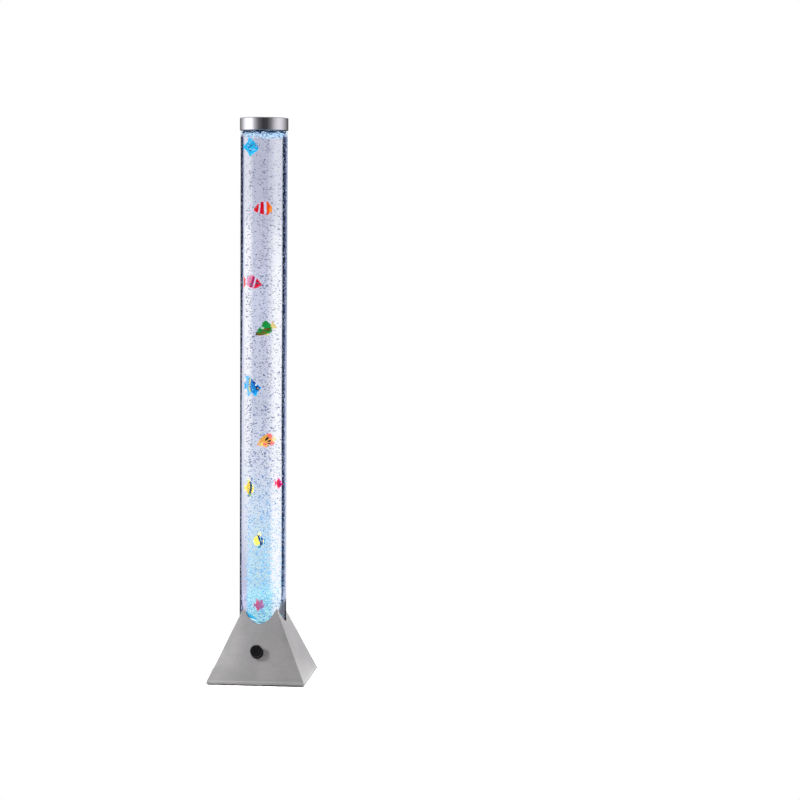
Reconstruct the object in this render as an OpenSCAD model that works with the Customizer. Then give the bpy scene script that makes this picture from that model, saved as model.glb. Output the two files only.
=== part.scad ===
// Bubble tube floor lamp: a water-filled clear tube that stands in a sheet-steel pyramid.
// Millimetres, +Z up, origin on the floor at the middle of the base, the knob's side towards -Y.

/* [Overall] */
// Height from the floor to the top of the cap
total_h = 1200; // [1100:10:1400]

/* [Clear tube] */
// Outside diameter of the tube
tube_od = 100; // [96:1:106]
// Wall of the tube
tube_wall = 3; // [2:0.5:4]
// Height of the tube's lower edge above the floor
tube_foot_z = 88; // [86:1:96]
// Thickness of the end disc's flange under the tube
disc_t = 6; // [4:0.5:8]
// Height of the end disc's spigot inside the tube
spigot_h = 5; // [3:0.5:8]
// Height of the air stone
stone_h = 12; // [8:1:18]
// Diameter of the air stone
stone_d = 32; // [24:1:40]

/* [Cap] */
// Height of the chrome cap
cap_h = 26; // [18:1:36]
// Wall of the cap's skirt
cap_wall = 1.2; // [0.8:0.1:2]
// Thickness of the cap's top
cap_top_t = 2; // [1.2:0.2:3]
// Thickness of the plug's lid, which lies on the tube's upper edge
plug_lid_t = 3; // [2:0.5:5]
// Depth of the plug's skirt inside the tube
plug_h = 14; // [10:1:20]
// Wall of the plug's skirt
plug_wall = 3; // [2.6:0.1:4]
// Diameter of the vent through cap and plug
vent_d = 6; // [3:0.5:10]

/* [Pyramid base] */
// Width of the pyramid at its lower edge
base_w = 212; // [206:1:230]
// Height of the pyramid's imagined tip above its lower edge
apex_h = 230; // [222:1:245]
// Thickness of the sheet steel
sheet_t = 1.5; // [1:0.1:2]
// Height of the rubber feet under the base
foot_h = 3; // [2.4:0.2:5]
// Diameter of a rubber foot
foot_d = 18; // [12:1:24]
// Distance of the feet's middles from the base's edges
foot_inset = 26; // [22:1:36]
// Thickness of the bottom plate
plate_t = 2; // [1.5:0.1:3]
// Side of the triangular tabs welded in the lower corners
tab_side = 30; // [24:1:36]

/* [Tube socket] */
// Wall of the collar round the tube
collar_wall = 3; // [2:0.5:3.5]
// Thickness of the flange that the tube stands on
seat_t = 4; // [3:0.5:6]
// Thickness of the gasket under the tube
gasket_t = 1; // [0.6:0.1:2]
// Diameter of the socket's four legs
leg_d = 11; // [8:0.5:12]
// Width of the ledge that the tube stands on
ledge_w = 10; // [8:0.5:12]

/* [Knob] */
// Height of the knob's shaft where it leaves the front face
knob_z = 66; // [60:1:70]
// Diameter of the knob
knob_d = 27; // [22:1:32]
// Length of the knob
knob_h = 17; // [14:1:22]
// Diameter of the control's shaft
shaft_d = 6; // [4:0.5:6]
// Diameter of the control's housing
pot_d = 16; // [14:1:20]
// Depth of the control's housing
pot_h = 8; // [6:0.5:10]

/* [Air pump] */
// Length of the pump, left to right
pump_len = 64; // [62:1:68]
// Depth of the pump, front to back
pump_w = 48; // [46:1:50]
// Height of the pump's housing
pump_h = 38; // [36:1:40]
// Wall of the pump's housing
pump_wall = 2; // [1.5:0.1:2.4]
// Height of the pump's rubber feet
pump_foot_h = 5; // [4:0.5:7]

/* [Air hose] */
// Outside diameter of the air hose
hose_od = 6; // [5.4:0.2:7]
// Inside diameter of the air hose
hose_id = 4; // [3.4:0.1:4.4]
// Radius of the hose's bends at its middle
bend_r = 12; // [11:0.5:12]
// Diameter of the check valve
valve_d = 19; // [16:1:22]

/* [Light] */
// Number of lamps on the light board
led_count = 12; // [6:1:16]
// Side of one lamp
led_side = 5; // [3:0.5:6]
// Radius of the ring of lamps
led_ring_r = 25; // [23:1:26]
// Thickness of the circuit boards
board_t = 1.6; // [1:0.1:2]

/* [Cord inlet] */
// Height of the cord inlet on the rear face
inlet_z = 25; // [20:1:30]
// Bore of the cord inlet's grommet
inlet_d = 7; // [5:0.5:8]

/* [Decorative fish] */
// Thickness of each fish
fish_t = 7.6; // [5:0.2:8]
// Free gap between the fishes' lanes
lane_gap = 1.7; // [0.8:0.1:2]
// Thickness of the fins
fin_t = 1.2; // [0.8:0.1:2]

/* [Hidden] */
$fn = 96;
fit = 0.05;          // radial play of a bonded, screwed or running fit
slack = 0.3;         // play of parts that lie in or beside each other
tube_gap = 0.4;      // play round the tube in collar, cap and pyramid
bore_r = tube_od / 2 - tube_wall;
plate_top = foot_h + plate_t;
foot_off = base_w / 2 - foot_inset;
light_d = tube_od - 2 * ledge_w;
tube_top = total_h - cap_top_t - plug_lid_t;

// Pyramid: every face leans in by the same angle
lean = atan(base_w / 2 / apex_h);
sheet_run = sheet_t / cos(lean);
inner_half = base_w / 2 - sheet_run;
plate_half = inner_half - plate_t * tan(lean) - slack;
tab_screw = plate_half - 10;
function face_half(z) = base_w / 2 - (z - foot_h) * tan(lean);
function inner_at(z) = inner_half - (z - foot_h) * tan(lean);

// Tube socket
disc_bottom = tube_foot_z - disc_t;
seat_top = disc_bottom - gasket_t;
seat_bottom = seat_top - seat_t;
collar_r = tube_od / 2 + tube_gap + collar_wall;
collar_top = foot_h + (inner_half - collar_r - 1) / tan(lean);
leg_off = collar_r - leg_d / 2 - 1;
leg_top = seat_bottom + seat_t / 2;
leg_screw_l = 14;
lug_r = light_d / 2 - 3.5;
lug_boss_r = 4.5;
lug_h = 6;
lug_screw_r = 1.25;
lug_screw_l = 6;
led_board_top = seat_bottom - lug_h;
led_board_r = light_d / 2 - 0.6;
led_hole_r = 13;
led_h = 1.6;

// Air line: pump outlet, bend to the middle, bend upwards, check valve, riser, nozzle
spigot_top = tube_foot_z + spigot_h;
nozzle_hole_r = 5;
nozzle_flange_r = 9;
nozzle_flange_t = 2.5;
nozzle_seal_d = 1.8;
nut_t = 4.5;
nozzle_shoulder = disc_bottom - nut_t - 1.5;
barb_r = hose_id / 2 - fit;
barb_h = 8;
stem_r = 3;
stem_h = 4;
stone_z = spigot_top + nozzle_seal_d + nozzle_flange_t;
outlet_rise = 10;
hose_z = plate_top + pump_foot_h + outlet_rise;
outlet_inset = 20;
leg_clearance = 4.5;
outlet_x = -leg_d / 2 - leg_clearance - outlet_inset;
valve_z = hose_z + bend_r + barb_h + 1;
valve_h = 14;
valve_room_r = valve_d / 2 - 3.5;

// Pump: rear left quarter of the base, beside the socket's rear leg
pump_gap = 5;
pump_x1 = outlet_x + outlet_inset;
pump_x0 = pump_x1 - pump_len;
pump_z0 = plate_top + pump_foot_h;
pump_y0 = inner_at(pump_z0 + pump_h) - pump_gap - pump_w;
pump_x = pump_x0 + pump_len / 2;
pump_y = pump_y0 + pump_w / 2;
pump_mid = pump_z0 + pump_h / 2;
pump_corner = 6;
boss_inset = 6.5;
boss_r = 3.5;
pump_foot_x = pump_len / 2 - 18;
pump_foot_y = pump_w / 2 - 8;
pump_foot_neck_r = 2;
arm_y = pump_y;
arm_t = 3;
arm_h = 14;
pivot_x = pump_x1 - 8;
pivot_r = 2;
eye_r = 4;
magnet_x = pump_x0 + pump_wall + 13;
magnet_l = 5;
magnet_w = 12;
core_gap = 1;
core_w = 24;
core_h = 20;
leg_w = 5;
core_x0 = pump_x0 + pump_wall + 0.5;
core_x1 = magnet_x - core_gap;
block_x = outlet_x - 2;
block_w = 23;
block_d = 10;
block_h = 20;
bellows_r = 8;

// Transformer: rear right quarter of the base
trafo_x = 44;
trafo_y = 48;
stack_w = 48;
stack_h = 40;
stack_d = 16;
yoke = 8;
coil_d = 30;
strap_t = 1;
strap_w = 12;
strap_foot = 9;

// Boards
control_x = -44;
control_y = -44;
control_w = 52;
control_d = 44;
standoff_h = 8;
control_z = plate_top + standoff_h;

// Water and fish
water_low = stone_z + stone_h + 4;
water_high = tube_top - plug_h - 16;
lane_pitch = fish_t + lane_gap;
lane_0 = -(bore_r - 8.5);
swim_r = bore_r - 0.5;

// ---- helpers ----

// Square pyramid with true flat faces: two crossed triangular prisms
module pyramid(half, drop = 0) {
    low = half + drop * tan(lean);
    side = [[-low, -drop], [low, -drop], [0, half / tan(lean)]];
    intersection() {
        rotate([90, 0, 0]) linear_extrude(2 * low + 2, center = true) polygon(side);
        rotate([90, 0, 90]) linear_extrude(2 * low + 2, center = true) polygon(side);
    }
}

// Rectangle with rounded corners, centred
module rounded_rect(w, d, r) {
    square([w - 2 * r, d], center = true);
    square([w, d - 2 * r], center = true);
    at_corners(w / 2 - r, d / 2 - r) circle(r);
}

// The children at the four corners of a rectangle
module at_corners(x, y) {
    for (i = [-1, 1], j = [-1, 1]) translate([i * x, j * y, 0]) children();
}

// The children at n even steps round the Z axis
module around(n, r, start = 0) {
    for (i = [0:n - 1]) rotate(start + i * 360 / n) translate([r, 0, 0]) children();
}

// Ring or pipe
module pipe(r_out, r_in, h) {
    difference() {
        cylinder(h = h, r = r_out);
        translate([0, 0, -1]) cylinder(h = h + 2, r = r_in);
    }
}

// Pan-head screw with its seat at z = 0, shank upwards
module screw(shank_r, length, head_r, head_h) {
    translate([0, 0, -head_h]) cylinder(h = head_h, r = head_r, $fn = 48);
    translate([0, 0, -fit]) cylinder(h = length + fit, r = shank_r, $fn = 48);
}

// Points of an arc, for outlines
function arc(cx, cy, r, a0, a1, n = 6) =
    [for (i = [0:n]) let (a = a0 + (a1 - a0) * i / n) [cx + r * cos(a), cy + r * sin(a)]];

// Points of a quadratic curve through the plane
function bow(p0, p1, p2, n = 6) =
    [for (i = [0:n]) let (t = i / n) (1 - t) * (1 - t) * p0 + 2 * t * (1 - t) * p1 + t * t * p2];

// Frame on the front face: z = 0 on the outer skin, +Z outwards, on the knob's axis
module on_front() {
    translate([0, -face_half(knob_z), knob_z]) rotate([90 - lean, 0, 0]) children();
}

// Frame on the rear face at the cord inlet
module on_rear() {
    translate([0, face_half(inlet_z), inlet_z]) rotate([lean - 90, 0, 0]) children();
}

// ---- pyramid base ----

plate_screw_r = 1.5;
leg_screw_r = 1.6;
foot_neck_r = 4;
control_hole_r = 3.7;
inlet_neck_r = inlet_d / 2 + 2;

// Folded shell with four arched cuts for the tube, and tabs for the plate's screws
module base_shell() {
    color("silver") difference() {
        union() {
            translate([0, 0, foot_h]) difference() {
                pyramid(base_w / 2);
                pyramid(inner_half, 1);
            }
            translate([0, 0, foot_h]) intersection() {
                pyramid(base_w / 2);
                at_corner_tabs() translate([0, 0, plate_t]) linear_extrude(sheet_t) corner_tab();
            }
        }
        translate([0, 0, tube_foot_z]) cylinder(h = apex_h, r = tube_od / 2 + tube_gap, $fn = 180);
        on_front() translate([0, 0, -sheet_t - 2]) cylinder(h = sheet_t + 4, r = control_hole_r);
        on_rear() translate([0, 0, -sheet_t - 2]) cylinder(h = sheet_t + 4, r = inlet_neck_r + fit);
        at_corners(tab_screw, tab_screw) cylinder(h = plate_top + 2 * sheet_t, r = plate_screw_r + fit);
    }
}

module at_corner_tabs() {
    for (a = [0:90:270]) rotate(a) translate([base_w / 2, base_w / 2, 0]) children();
}

module corner_tab() {
    polygon([[0, 0], [-tab_side, 0], [0, -tab_side]]);
}

// Flat plate inside the shell's lower edge, with air slots in the front right quarter
module bottom_plate() {
    slot_w = 3;
    slot_l = 30;
    slot_pitch = 8;
    slot_x0 = 18;
    slot_y0 = -62;
    color("dimgray") translate([0, 0, foot_h]) difference() {
        linear_extrude(plate_t) square(2 * plate_half, center = true);
        at_corners(tab_screw, tab_screw) plate_hole(plate_screw_r + fit);
        at_corners(foot_off, foot_off) plate_hole(foot_neck_r + fit);
        around(4, leg_off) plate_hole(leg_screw_r + fit);
        for (i = [0:6]) translate([slot_x0 + i * slot_pitch, slot_y0, 0]) plate_slot(slot_l, slot_w);
        translate([control_x, control_y, 0]) at_corners(control_w / 2 - 4, control_d / 2 - 4)
            plate_hole(plate_screw_r + fit);
        translate([trafo_x, trafo_y, 0]) for (i = [-1, 1])
            translate([i * (stack_w / 2 + strap_t + strap_foot / 2), 0, 0]) plate_hole(plate_screw_r + fit);
        translate([pump_x, pump_y, 0]) at_corners(pump_foot_x, pump_foot_y)
            plate_hole(pump_foot_neck_r + fit);
    }
}

module plate_hole(r) {
    translate([0, 0, -1]) cylinder(h = plate_t + 2, r = r, $fn = 48);
}

module plate_slot(length, width) {
    translate([0, width / 2, -1]) cylinder(h = plate_t + 2, r = width / 2, $fn = 32);
    translate([0, length - width / 2, -1]) cylinder(h = plate_t + 2, r = width / 2, $fn = 32);
    translate([-width / 2, width / 2, -1]) cube([width, length - width, plate_t + 2]);
}

// Push-in rubber feet: pad below the plate, neck in its hole, head above it
module rubber_feet() {
    color("black") at_corners(foot_off, foot_off) rotate_extrude() polygon([
        [0, 0], [foot_d / 2 - 1.5, 0], [foot_d / 2, 1], [foot_d / 2, foot_h], [foot_neck_r, foot_h],
        [foot_neck_r, plate_top], [foot_neck_r + 1.2, plate_top], [foot_neck_r, plate_top + 2],
        [0, plate_top + 2]
    ]);
}

module plate_screws() {
    color("gainsboro") at_corners(tab_screw, tab_screw) translate([0, 0, foot_h])
        screw(plate_screw_r, plate_t + sheet_t + 1, 2.8, 1.8);
}

// ---- tube socket ----

// Collar and flange on four legs, with lugs for the light board
module tube_socket() {
    color("whitesmoke") difference() {
        union() {
            translate([0, 0, seat_bottom]) pipe(collar_r, light_d / 2, seat_t);
            translate([0, 0, seat_top]) pipe(collar_r, tube_od / 2 + tube_gap, collar_top - seat_top);
            around(4, leg_off) translate([0, 0, plate_top])
                cylinder(h = leg_top - plate_top, r = leg_d / 2);
            around(3, lug_r, 45) translate([0, 0, led_board_top])
                cylinder(h = leg_top - led_board_top, r = lug_boss_r);
        }
        around(4, leg_off) translate([0, 0, plate_top - 1])
            cylinder(h = leg_screw_l + 3, r = leg_screw_r + fit);
        around(3, lug_r, 45) translate([0, 0, led_board_top - 1])
            cylinder(h = lug_screw_l + 1.5, r = lug_screw_r + fit);
    }
}

module socket_screws() {
    color("gainsboro") around(4, leg_off) translate([0, 0, foot_h])
        screw(leg_screw_r, leg_screw_l, 3, 2);
}

module tube_gasket() {
    color("dimgray") translate([0, 0, seat_top]) pipe(tube_od / 2, light_d / 2 + 2, gasket_t);
}

// ---- water tube ----

module clear_tube() {
    color("lightcyan", 0.4) translate([0, 0, tube_foot_z])
        difference() {
            cylinder(h = tube_top - tube_foot_z, r = tube_od / 2, $fn = 180);
            translate([0, 0, -1]) cylinder(h = tube_top - tube_foot_z + 2, r = bore_r, $fn = 180);
        }
}

// Stepped disc bonded under and into the tube
module tube_end_disc() {
    color("lightcyan", 0.6) rotate_extrude($fn = 180) polygon([
        [nozzle_hole_r, disc_bottom], [tube_od / 2, disc_bottom], [tube_od / 2, tube_foot_z],
        [bore_r - fit, tube_foot_z], [bore_r - fit, spigot_top], [nozzle_hole_r, spigot_top]
    ]);
}

// Hollow nozzle: barb for the riser, thread for the nut, flange and stem inside the tube
module air_nozzle() {
    body_r = nozzle_hole_r - fit;
    flange_z = spigot_top + nozzle_seal_d;
    color("white") rotate_extrude() polygon([
        [1, nozzle_shoulder - barb_h], [barb_r - 0.4, nozzle_shoulder - barb_h],
        [barb_r, nozzle_shoulder - barb_h + 2], [barb_r - 0.3, nozzle_shoulder - barb_h + 2],
        [barb_r - 0.3, nozzle_shoulder - barb_h + 3], [barb_r, nozzle_shoulder - barb_h + 5],
        [barb_r - 0.3, nozzle_shoulder - barb_h + 5], [barb_r - 0.3, nozzle_shoulder],
        [body_r, nozzle_shoulder], [body_r, flange_z], [nozzle_flange_r, flange_z],
        [nozzle_flange_r, stone_z], [stem_r, stone_z], [stem_r, stone_z + stem_h],
        [1, stone_z + stem_h]
    ]);
}

module nozzle_seal() {
    color("black") translate([0, 0, spigot_top + nozzle_seal_d / 2]) rotate_extrude()
        translate([nozzle_hole_r + nozzle_seal_d / 2 + fit, 0]) circle(nozzle_seal_d / 2, $fn = 32);
}

module nozzle_nut() {
    color("white") translate([0, 0, disc_bottom - nut_t]) difference() {
        cylinder(h = nut_t, r = 9, $fn = 6);
        translate([0, 0, -1]) cylinder(h = nut_t + 2, r = nozzle_hole_r);
    }
}

// Round porous stone that breaks the air into bubbles
module air_stone() {
    edge = 2;
    r = stone_d / 2;
    color("lightsteelblue") translate([0, 0, stone_z]) rotate_extrude() polygon(concat(
        [[0, stem_h + 0.5], [stem_r + fit, stem_h + 0.5], [stem_r + fit, 0]],
        arc(r - edge, edge, edge, -90, 0, 4),
        arc(r - edge, stone_h - edge, edge, 0, 90, 4),
        [[0, stone_h]]
    ));
}

// ---- cap ----

cap_in_r = tube_od / 2 + slack;
cap_out_r = cap_in_r + cap_wall;
plug_r = bore_r - tube_gap;
groove_z = tube_top - plug_h / 2;
groove_depth = 1.4;
seal_d = 1.6;

// Chrome-plated skirt and top with a rounded edge
module cap_shell() {
    edge = 1.6;
    color("gainsboro") rotate_extrude($fn = 180) polygon(concat(
        [[vent_d / 2, total_h - cap_top_t], [cap_in_r, total_h - cap_top_t], [cap_in_r, total_h - cap_h]],
        [[cap_out_r, total_h - cap_h]],
        arc(cap_out_r - edge, total_h - edge, edge, 0, 90, 5),
        [[vent_d / 2, total_h]]
    ));
}

// Plug inside the tube: lid on the tube's edge, skirt with a groove for the seal
module cap_plug() {
    lid_top = tube_top + plug_lid_t;
    groove_r = plug_r - groove_depth;
    color("whitesmoke") rotate_extrude($fn = 180) polygon([
        [vent_d / 2, tube_top], [plug_r - plug_wall, tube_top], [plug_r - plug_wall, tube_top - plug_h],
        [plug_r, tube_top - plug_h], [plug_r, groove_z - 1.2], [groove_r, groove_z - 1.2],
        [groove_r, groove_z + 1.2], [plug_r, groove_z + 1.2], [plug_r, tube_top],
        [cap_in_r - fit, tube_top], [cap_in_r - fit, lid_top], [vent_d / 2, lid_top]
    ]);
}

module cap_seal() {
    color("dimgray") translate([0, 0, groove_z]) rotate_extrude($fn = 180)
        translate([plug_r - groove_depth + seal_d / 2 + fit, 0]) circle(seal_d / 2, $fn = 32);
}

// ---- knob and control ----

knob_gap = 1;
bushing_r = 3.5;
bushing_h = 5;
washer_t = 0.6;
control_nut_t = 2;
shaft_r = shaft_d / 2;
flat_depth = 1.5;
shaft_top = knob_gap + knob_h - 3.5;
flat_z = bushing_h + 1.5;

// Round section of the shaft with its flat
module d_section(r) {
    difference() {
        circle(r);
        translate([-r - 1, shaft_r - flat_depth + (r - shaft_r)]) square([2 * r + 2, r]);
    }
}

// Fluted knob on a smooth foot ring, with a dished face and a pointer groove, hollow over the nut
module knob() {
    r = knob_d / 2;
    grip_r = r - 0.6;
    grip_z = knob_gap + 2.4;
    top = knob_gap + knob_h;
    hollow_r = r - 2.6;
    hollow_top = flat_z;
    edge = 1.2;
    dish = 1.6;
    flutes = 20;
    flute_r = 1.2;
    color([0.08, 0.08, 0.09]) on_front() difference() {
        rotate_extrude() polygon(concat(
            [[0, knob_gap], [r, knob_gap], [r, grip_z], [grip_r, grip_z]],
            arc(grip_r - edge, top - edge, edge, 0, 90, 4),
            bow([r - 3.6, top], [r - 5, top - dish], [0, top - dish], 5)
        ));
        translate([0, 0, knob_gap - 1]) cylinder(h = hollow_top - knob_gap + 1, r = hollow_r);
        translate([0, 0, hollow_top - 1]) linear_extrude(shaft_top - hollow_top + 1 + slack)
            d_section(shaft_r + fit);
        around(flutes, grip_r + 0.6, 9) translate([0, 0, grip_z + 0.6])
            cylinder(h = knob_h, r = flute_r, $fn = 24);
        translate([-0.6, grip_r - 7, top - dish - 0.4]) cube([1.2, 8, dish + 1]);
    }
}

// Shaft with a flat, turned by the knob
module control_shaft() {
    color("silver") on_front() {
        translate([0, 0, -sheet_t - pot_h + 2]) cylinder(h = flat_z + sheet_t + pot_h - 2, r = shaft_r);
        translate([0, 0, flat_z]) linear_extrude(shaft_top - flat_z) d_section(shaft_r);
    }
}

// Housing behind the sheet, bushing through it, three solder tags below
module control_body() {
    color("slategray") on_front() difference() {
        union() {
            translate([0, 0, -sheet_t - pot_h]) cylinder(h = pot_h, r = pot_d / 2);
            translate([0, 0, -sheet_t - 1]) cylinder(h = sheet_t + 1 + bushing_h, r = bushing_r);
            for (x = [-5, 0, 5]) translate([x - 0.6, -pot_d / 2 - 4, -sheet_t - pot_h + 1])
                cube([1.2, pot_d / 2, 0.6]);
        }
        translate([0, 0, -sheet_t - pot_h + 2 - fit])
            cylinder(h = pot_h + sheet_t + bushing_h, r = shaft_r + fit);
    }
}

module control_washer() {
    color("silver") on_front() pipe(6.5, bushing_r + fit, washer_t);
}

module control_nut() {
    color("silver") on_front() translate([0, 0, washer_t]) difference() {
        cylinder(h = control_nut_t, r = 5.8, $fn = 6);
        translate([0, 0, -1]) cylinder(h = control_nut_t + 2, r = bushing_r + fit);
    }
}

// Rubber grommet where the cord enters
module cord_grommet() {
    lip_r = inlet_neck_r + 2;
    color("black") on_rear() rotate_extrude() polygon([
        [inlet_d / 2, -sheet_t - 3], [lip_r - 0.6, -sheet_t - 3], [lip_r, -sheet_t],
        [inlet_neck_r, -sheet_t], [inlet_neck_r, 0], [lip_r, 0], [lip_r, 1.4], [lip_r - 1, 2.4],
        [inlet_d / 2, 2.4]
    ]);
}

// ---- air pump ----

// Outer form of one housing half, with its wall and four screw bosses
module pump_half(h, floor_z) {
    difference() {
        linear_extrude(h) rounded_rect(pump_len, pump_w, pump_corner);
        translate([0, 0, floor_z]) linear_extrude(h - pump_wall + 1)
            rounded_rect(pump_len - 2 * pump_wall, pump_w - 2 * pump_wall, pump_corner - pump_wall);
    }
    at_corners(pump_len / 2 - boss_inset, pump_w / 2 - boss_inset) cylinder(h = h, r = boss_r);
}

module pump_lower_housing() {
    head_room = 2.2;
    color("dimgray") difference() {
        translate([pump_x, pump_y, pump_z0]) union() {
            pump_half(pump_h / 2, pump_wall);
            translate([pivot_x - pump_x, arm_y - pump_y, 1])
                cylinder(h = pump_h / 2 - arm_h / 2 - 1.3, r = 4.5);
        }
        translate([pump_x, pump_y, pump_z0 - 1])
            at_corners(pump_len / 2 - boss_inset, pump_w / 2 - boss_inset) {
            cylinder(h = pump_h, r = plate_screw_r + fit);
            cylinder(h = head_room + 1, r = 3);
        }
        translate([pump_x, pump_y, pump_z0 - 1]) at_corners(pump_foot_x, pump_foot_y)
            cylinder(h = pump_wall + 2, r = pump_foot_neck_r + fit);
        translate([outlet_x, pump_y0 - 1, hose_z]) rotate([-90, 0, 0])
            cylinder(h = pump_wall + 2, r = hose_id / 2 + 0.2);
        translate([pivot_x, arm_y, pump_z0 + 4]) cylinder(h = pump_h, r = pivot_r + fit);
        for (x = [-12:6:12])
            translate([pump_x + x, pump_y - 5, pump_z0 - 1]) cylinder(h = pump_wall + 2, r = 1);
    }
}

module pump_upper_housing() {
    color("dimgray") difference() {
        translate([pump_x, pump_y, pump_z0 + pump_h]) mirror([0, 0, 1]) pump_half(pump_h / 2, pump_wall);
        translate([pump_x, pump_y, pump_mid - 1])
            at_corners(pump_len / 2 - boss_inset, pump_w / 2 - boss_inset)
            cylinder(h = 9, r = plate_screw_r + fit);
    }
}

module pump_screws() {
    color("gainsboro") translate([pump_x, pump_y, pump_z0 + 2.2])
        at_corners(pump_len / 2 - boss_inset, pump_w / 2 - boss_inset)
            screw(plate_screw_r, pump_h / 2 + 5, 2.8, 1.8);
}

// Rubber feet with a stub into the pump and one into the plate
module pump_feet() {
    color("black") translate([pump_x, pump_y, plate_top])
        at_corners(pump_foot_x, pump_foot_y) rotate_extrude() polygon([
            [0, -plate_t], [pump_foot_neck_r, -plate_t], [pump_foot_neck_r, 0], [5, 0],
            [4.4, pump_foot_h / 2], [5, pump_foot_h], [pump_foot_neck_r, pump_foot_h],
            [pump_foot_neck_r, pump_foot_h + pump_wall], [0, pump_foot_h + pump_wall]
        ]);
}

// Laminated E core, its three legs towards the magnet
module pump_core() {
    window = (core_w - 3 * leg_w) / 2;
    color("gray") translate([core_x0, arm_y - core_w / 2, pump_mid - core_h / 2]) difference() {
        cube([core_x1 - core_x0, core_w, core_h]);
        for (y = [leg_w, 2 * leg_w + window])
            translate([4, y, -1]) cube([core_x1 - core_x0, window, core_h + 2]);
    }
}

// Winding round the core's middle leg
module pump_coil() {
    window = (core_w - 3 * leg_w) / 2;
    length = core_x1 - core_x0 - 4 - 2 * slack;
    wide = leg_w + 2 * window - 2 * slack;
    tall = core_h + 2 * window - 2 * slack;
    color("peru") translate([core_x0 + 4 + slack, arm_y, pump_mid])
        rotate([90, 0, 90]) linear_extrude(length)
        difference() {
            rounded_rect(wide, tall, 2);
            square([leg_w + 2 * fit, core_h + 2 * fit], center = true);
        }
}

// Swinging arm with its pivot eye, magnet seat and the stud that drives the bellows
module pump_arm() {
    stud_y = pump_y0 + pump_wall + block_d + 7;
    color("ivory") translate([0, 0, pump_mid - arm_h / 2]) difference() {
        union() {
            translate([magnet_x + magnet_l, arm_y - arm_t / 2, 0])
                cube([pivot_x - magnet_x - magnet_l, arm_t, arm_h]);
            translate([pivot_x, arm_y, 0]) cylinder(h = arm_h, r = eye_r);
            translate([magnet_x + magnet_l, arm_y - magnet_w / 2, 0]) cube([2, magnet_w, arm_h]);
            translate([block_x, arm_y, arm_h / 2]) rotate([90, 0, 0])
                cylinder(h = arm_y - stud_y - slack, r = 4);
        }
        translate([pivot_x, arm_y, -1]) cylinder(h = arm_h + 2, r = pivot_r + fit);
    }
}

module pump_magnet() {
    color("darkslategray") translate([magnet_x, arm_y - magnet_w / 2, pump_mid - arm_h / 2])
        cube([magnet_l, magnet_w, arm_h]);
}

module pump_pivot_pin() {
    color("silver") translate([pivot_x, arm_y, pump_z0 + 4])
        cylinder(h = pump_h / 2 + arm_h / 2 - 2, r = pivot_r);
}

// Rubber bellows: rim on the valve block, folded wall, closed face at the arm's stud
module pump_bellows() {
    r = bellows_r;
    color([0.15, 0.15, 0.16]) translate([block_x, pump_y0 + pump_wall + block_d, pump_mid])
        rotate([-90, 0, 0]) rotate_extrude() polygon([
            [r - 1, 0], [r + 1.6, 0], [r + 1.6, 1.5], [r, 1.5], [r, 2.6], [r - 1.4, 3.4], [r, 4.2], [r, 7],
            [0, 7], [0, 6], [r - 1, 6], [r - 1, 4.5], [r - 2.4, 3.4], [r - 1, 2.4]
        ]);
}

// Valve block behind the housing's front wall, with the outlet nipple through it
module pump_valve_block() {
    color("lightgray") difference() {
        union() {
            translate([block_x - block_w / 2, pump_y0 + pump_wall, pump_mid - block_h / 2])
                cube([block_w, block_d, block_h]);
            translate([outlet_x, pump_y0 + pump_wall + 1, hose_z]) rotate([90, 0, 0])
                cylinder(h = pump_wall + 1 + barb_h + 1, r = barb_r);
        }
        translate([outlet_x, pump_y0 + pump_wall + 5, hose_z]) rotate([90, 0, 0])
            cylinder(h = 30, r = 1);
    }
}

// ---- air line ----

// Run of the outlet hose with radius r: forwards, bend to the middle, bend upwards
module hose_run(r, over = 0) {
    straight = pump_y0 - bend_r;
    translate([outlet_x, pump_y0 + over, hose_z]) rotate([90, 0, 0]) cylinder(h = straight + over, r = r);
    translate([outlet_x + bend_r, bend_r, hose_z]) rotate([0, 0, 180]) rotate_extrude(angle = 90)
        translate([bend_r, 0]) circle(r);
    translate([outlet_x + bend_r, 0, hose_z]) rotate([0, 90, 0])
        cylinder(h = -outlet_x - 2 * bend_r, r = r);
    translate([-bend_r, 0, hose_z + bend_r]) rotate([90, 0, 0]) rotate([0, 0, -90])
        rotate_extrude(angle = 90) translate([bend_r, 0]) circle(r);
    translate([0, 0, hose_z + bend_r]) cylinder(h = valve_z - hose_z - bend_r + over, r = r);
}

module outlet_hose() {
    color([0.85, 0.9, 0.9]) difference() {
        hose_run(hose_od / 2);
        hose_run(hose_id / 2, 1);
    }
}

// Body of two halves with a seam flange, barbs at both ends
module check_valve() {
    r = valve_d / 2;
    color("whitesmoke") translate([0, 0, valve_z]) rotate_extrude() polygon([
        [1, -barb_h], [barb_r - 0.3, -barb_h], [barb_r, 1 - barb_h], [barb_r, 0], [r - 2, 0], [r - 1.5, 5],
        [r, 5.5], [r, 8.5], [r - 1.5, 9], [r - 2, valve_h], [barb_r, valve_h],
        [barb_r, valve_h + barb_h - 1], [barb_r - 0.3, valve_h + barb_h], [1, valve_h + barb_h],
        [1, valve_h - 2], [valve_room_r, valve_h - 2], [valve_room_r, 4], [1, 2]
    ]);
}

// Silicone disc that lies on the valve's seat
module check_valve_flap() {
    color("salmon") translate([0, 0, valve_z + 4 + slack]) cylinder(h = 0.8, r = valve_room_r - slack);
}

module riser_hose() {
    color([0.85, 0.9, 0.9]) translate([0, 0, valve_z + valve_h])
        pipe(hose_od / 2, hose_id / 2, nozzle_shoulder - valve_z - valve_h);
}

// ---- light ----

module light_board() {
    color("seagreen") translate([0, 0, led_board_top - board_t]) difference() {
        pipe(led_board_r, led_hole_r, board_t);
        around(3, lug_r, 45) translate([0, 0, -1]) cylinder(h = board_t + 2, r = 1.5);
    }
}

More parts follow.
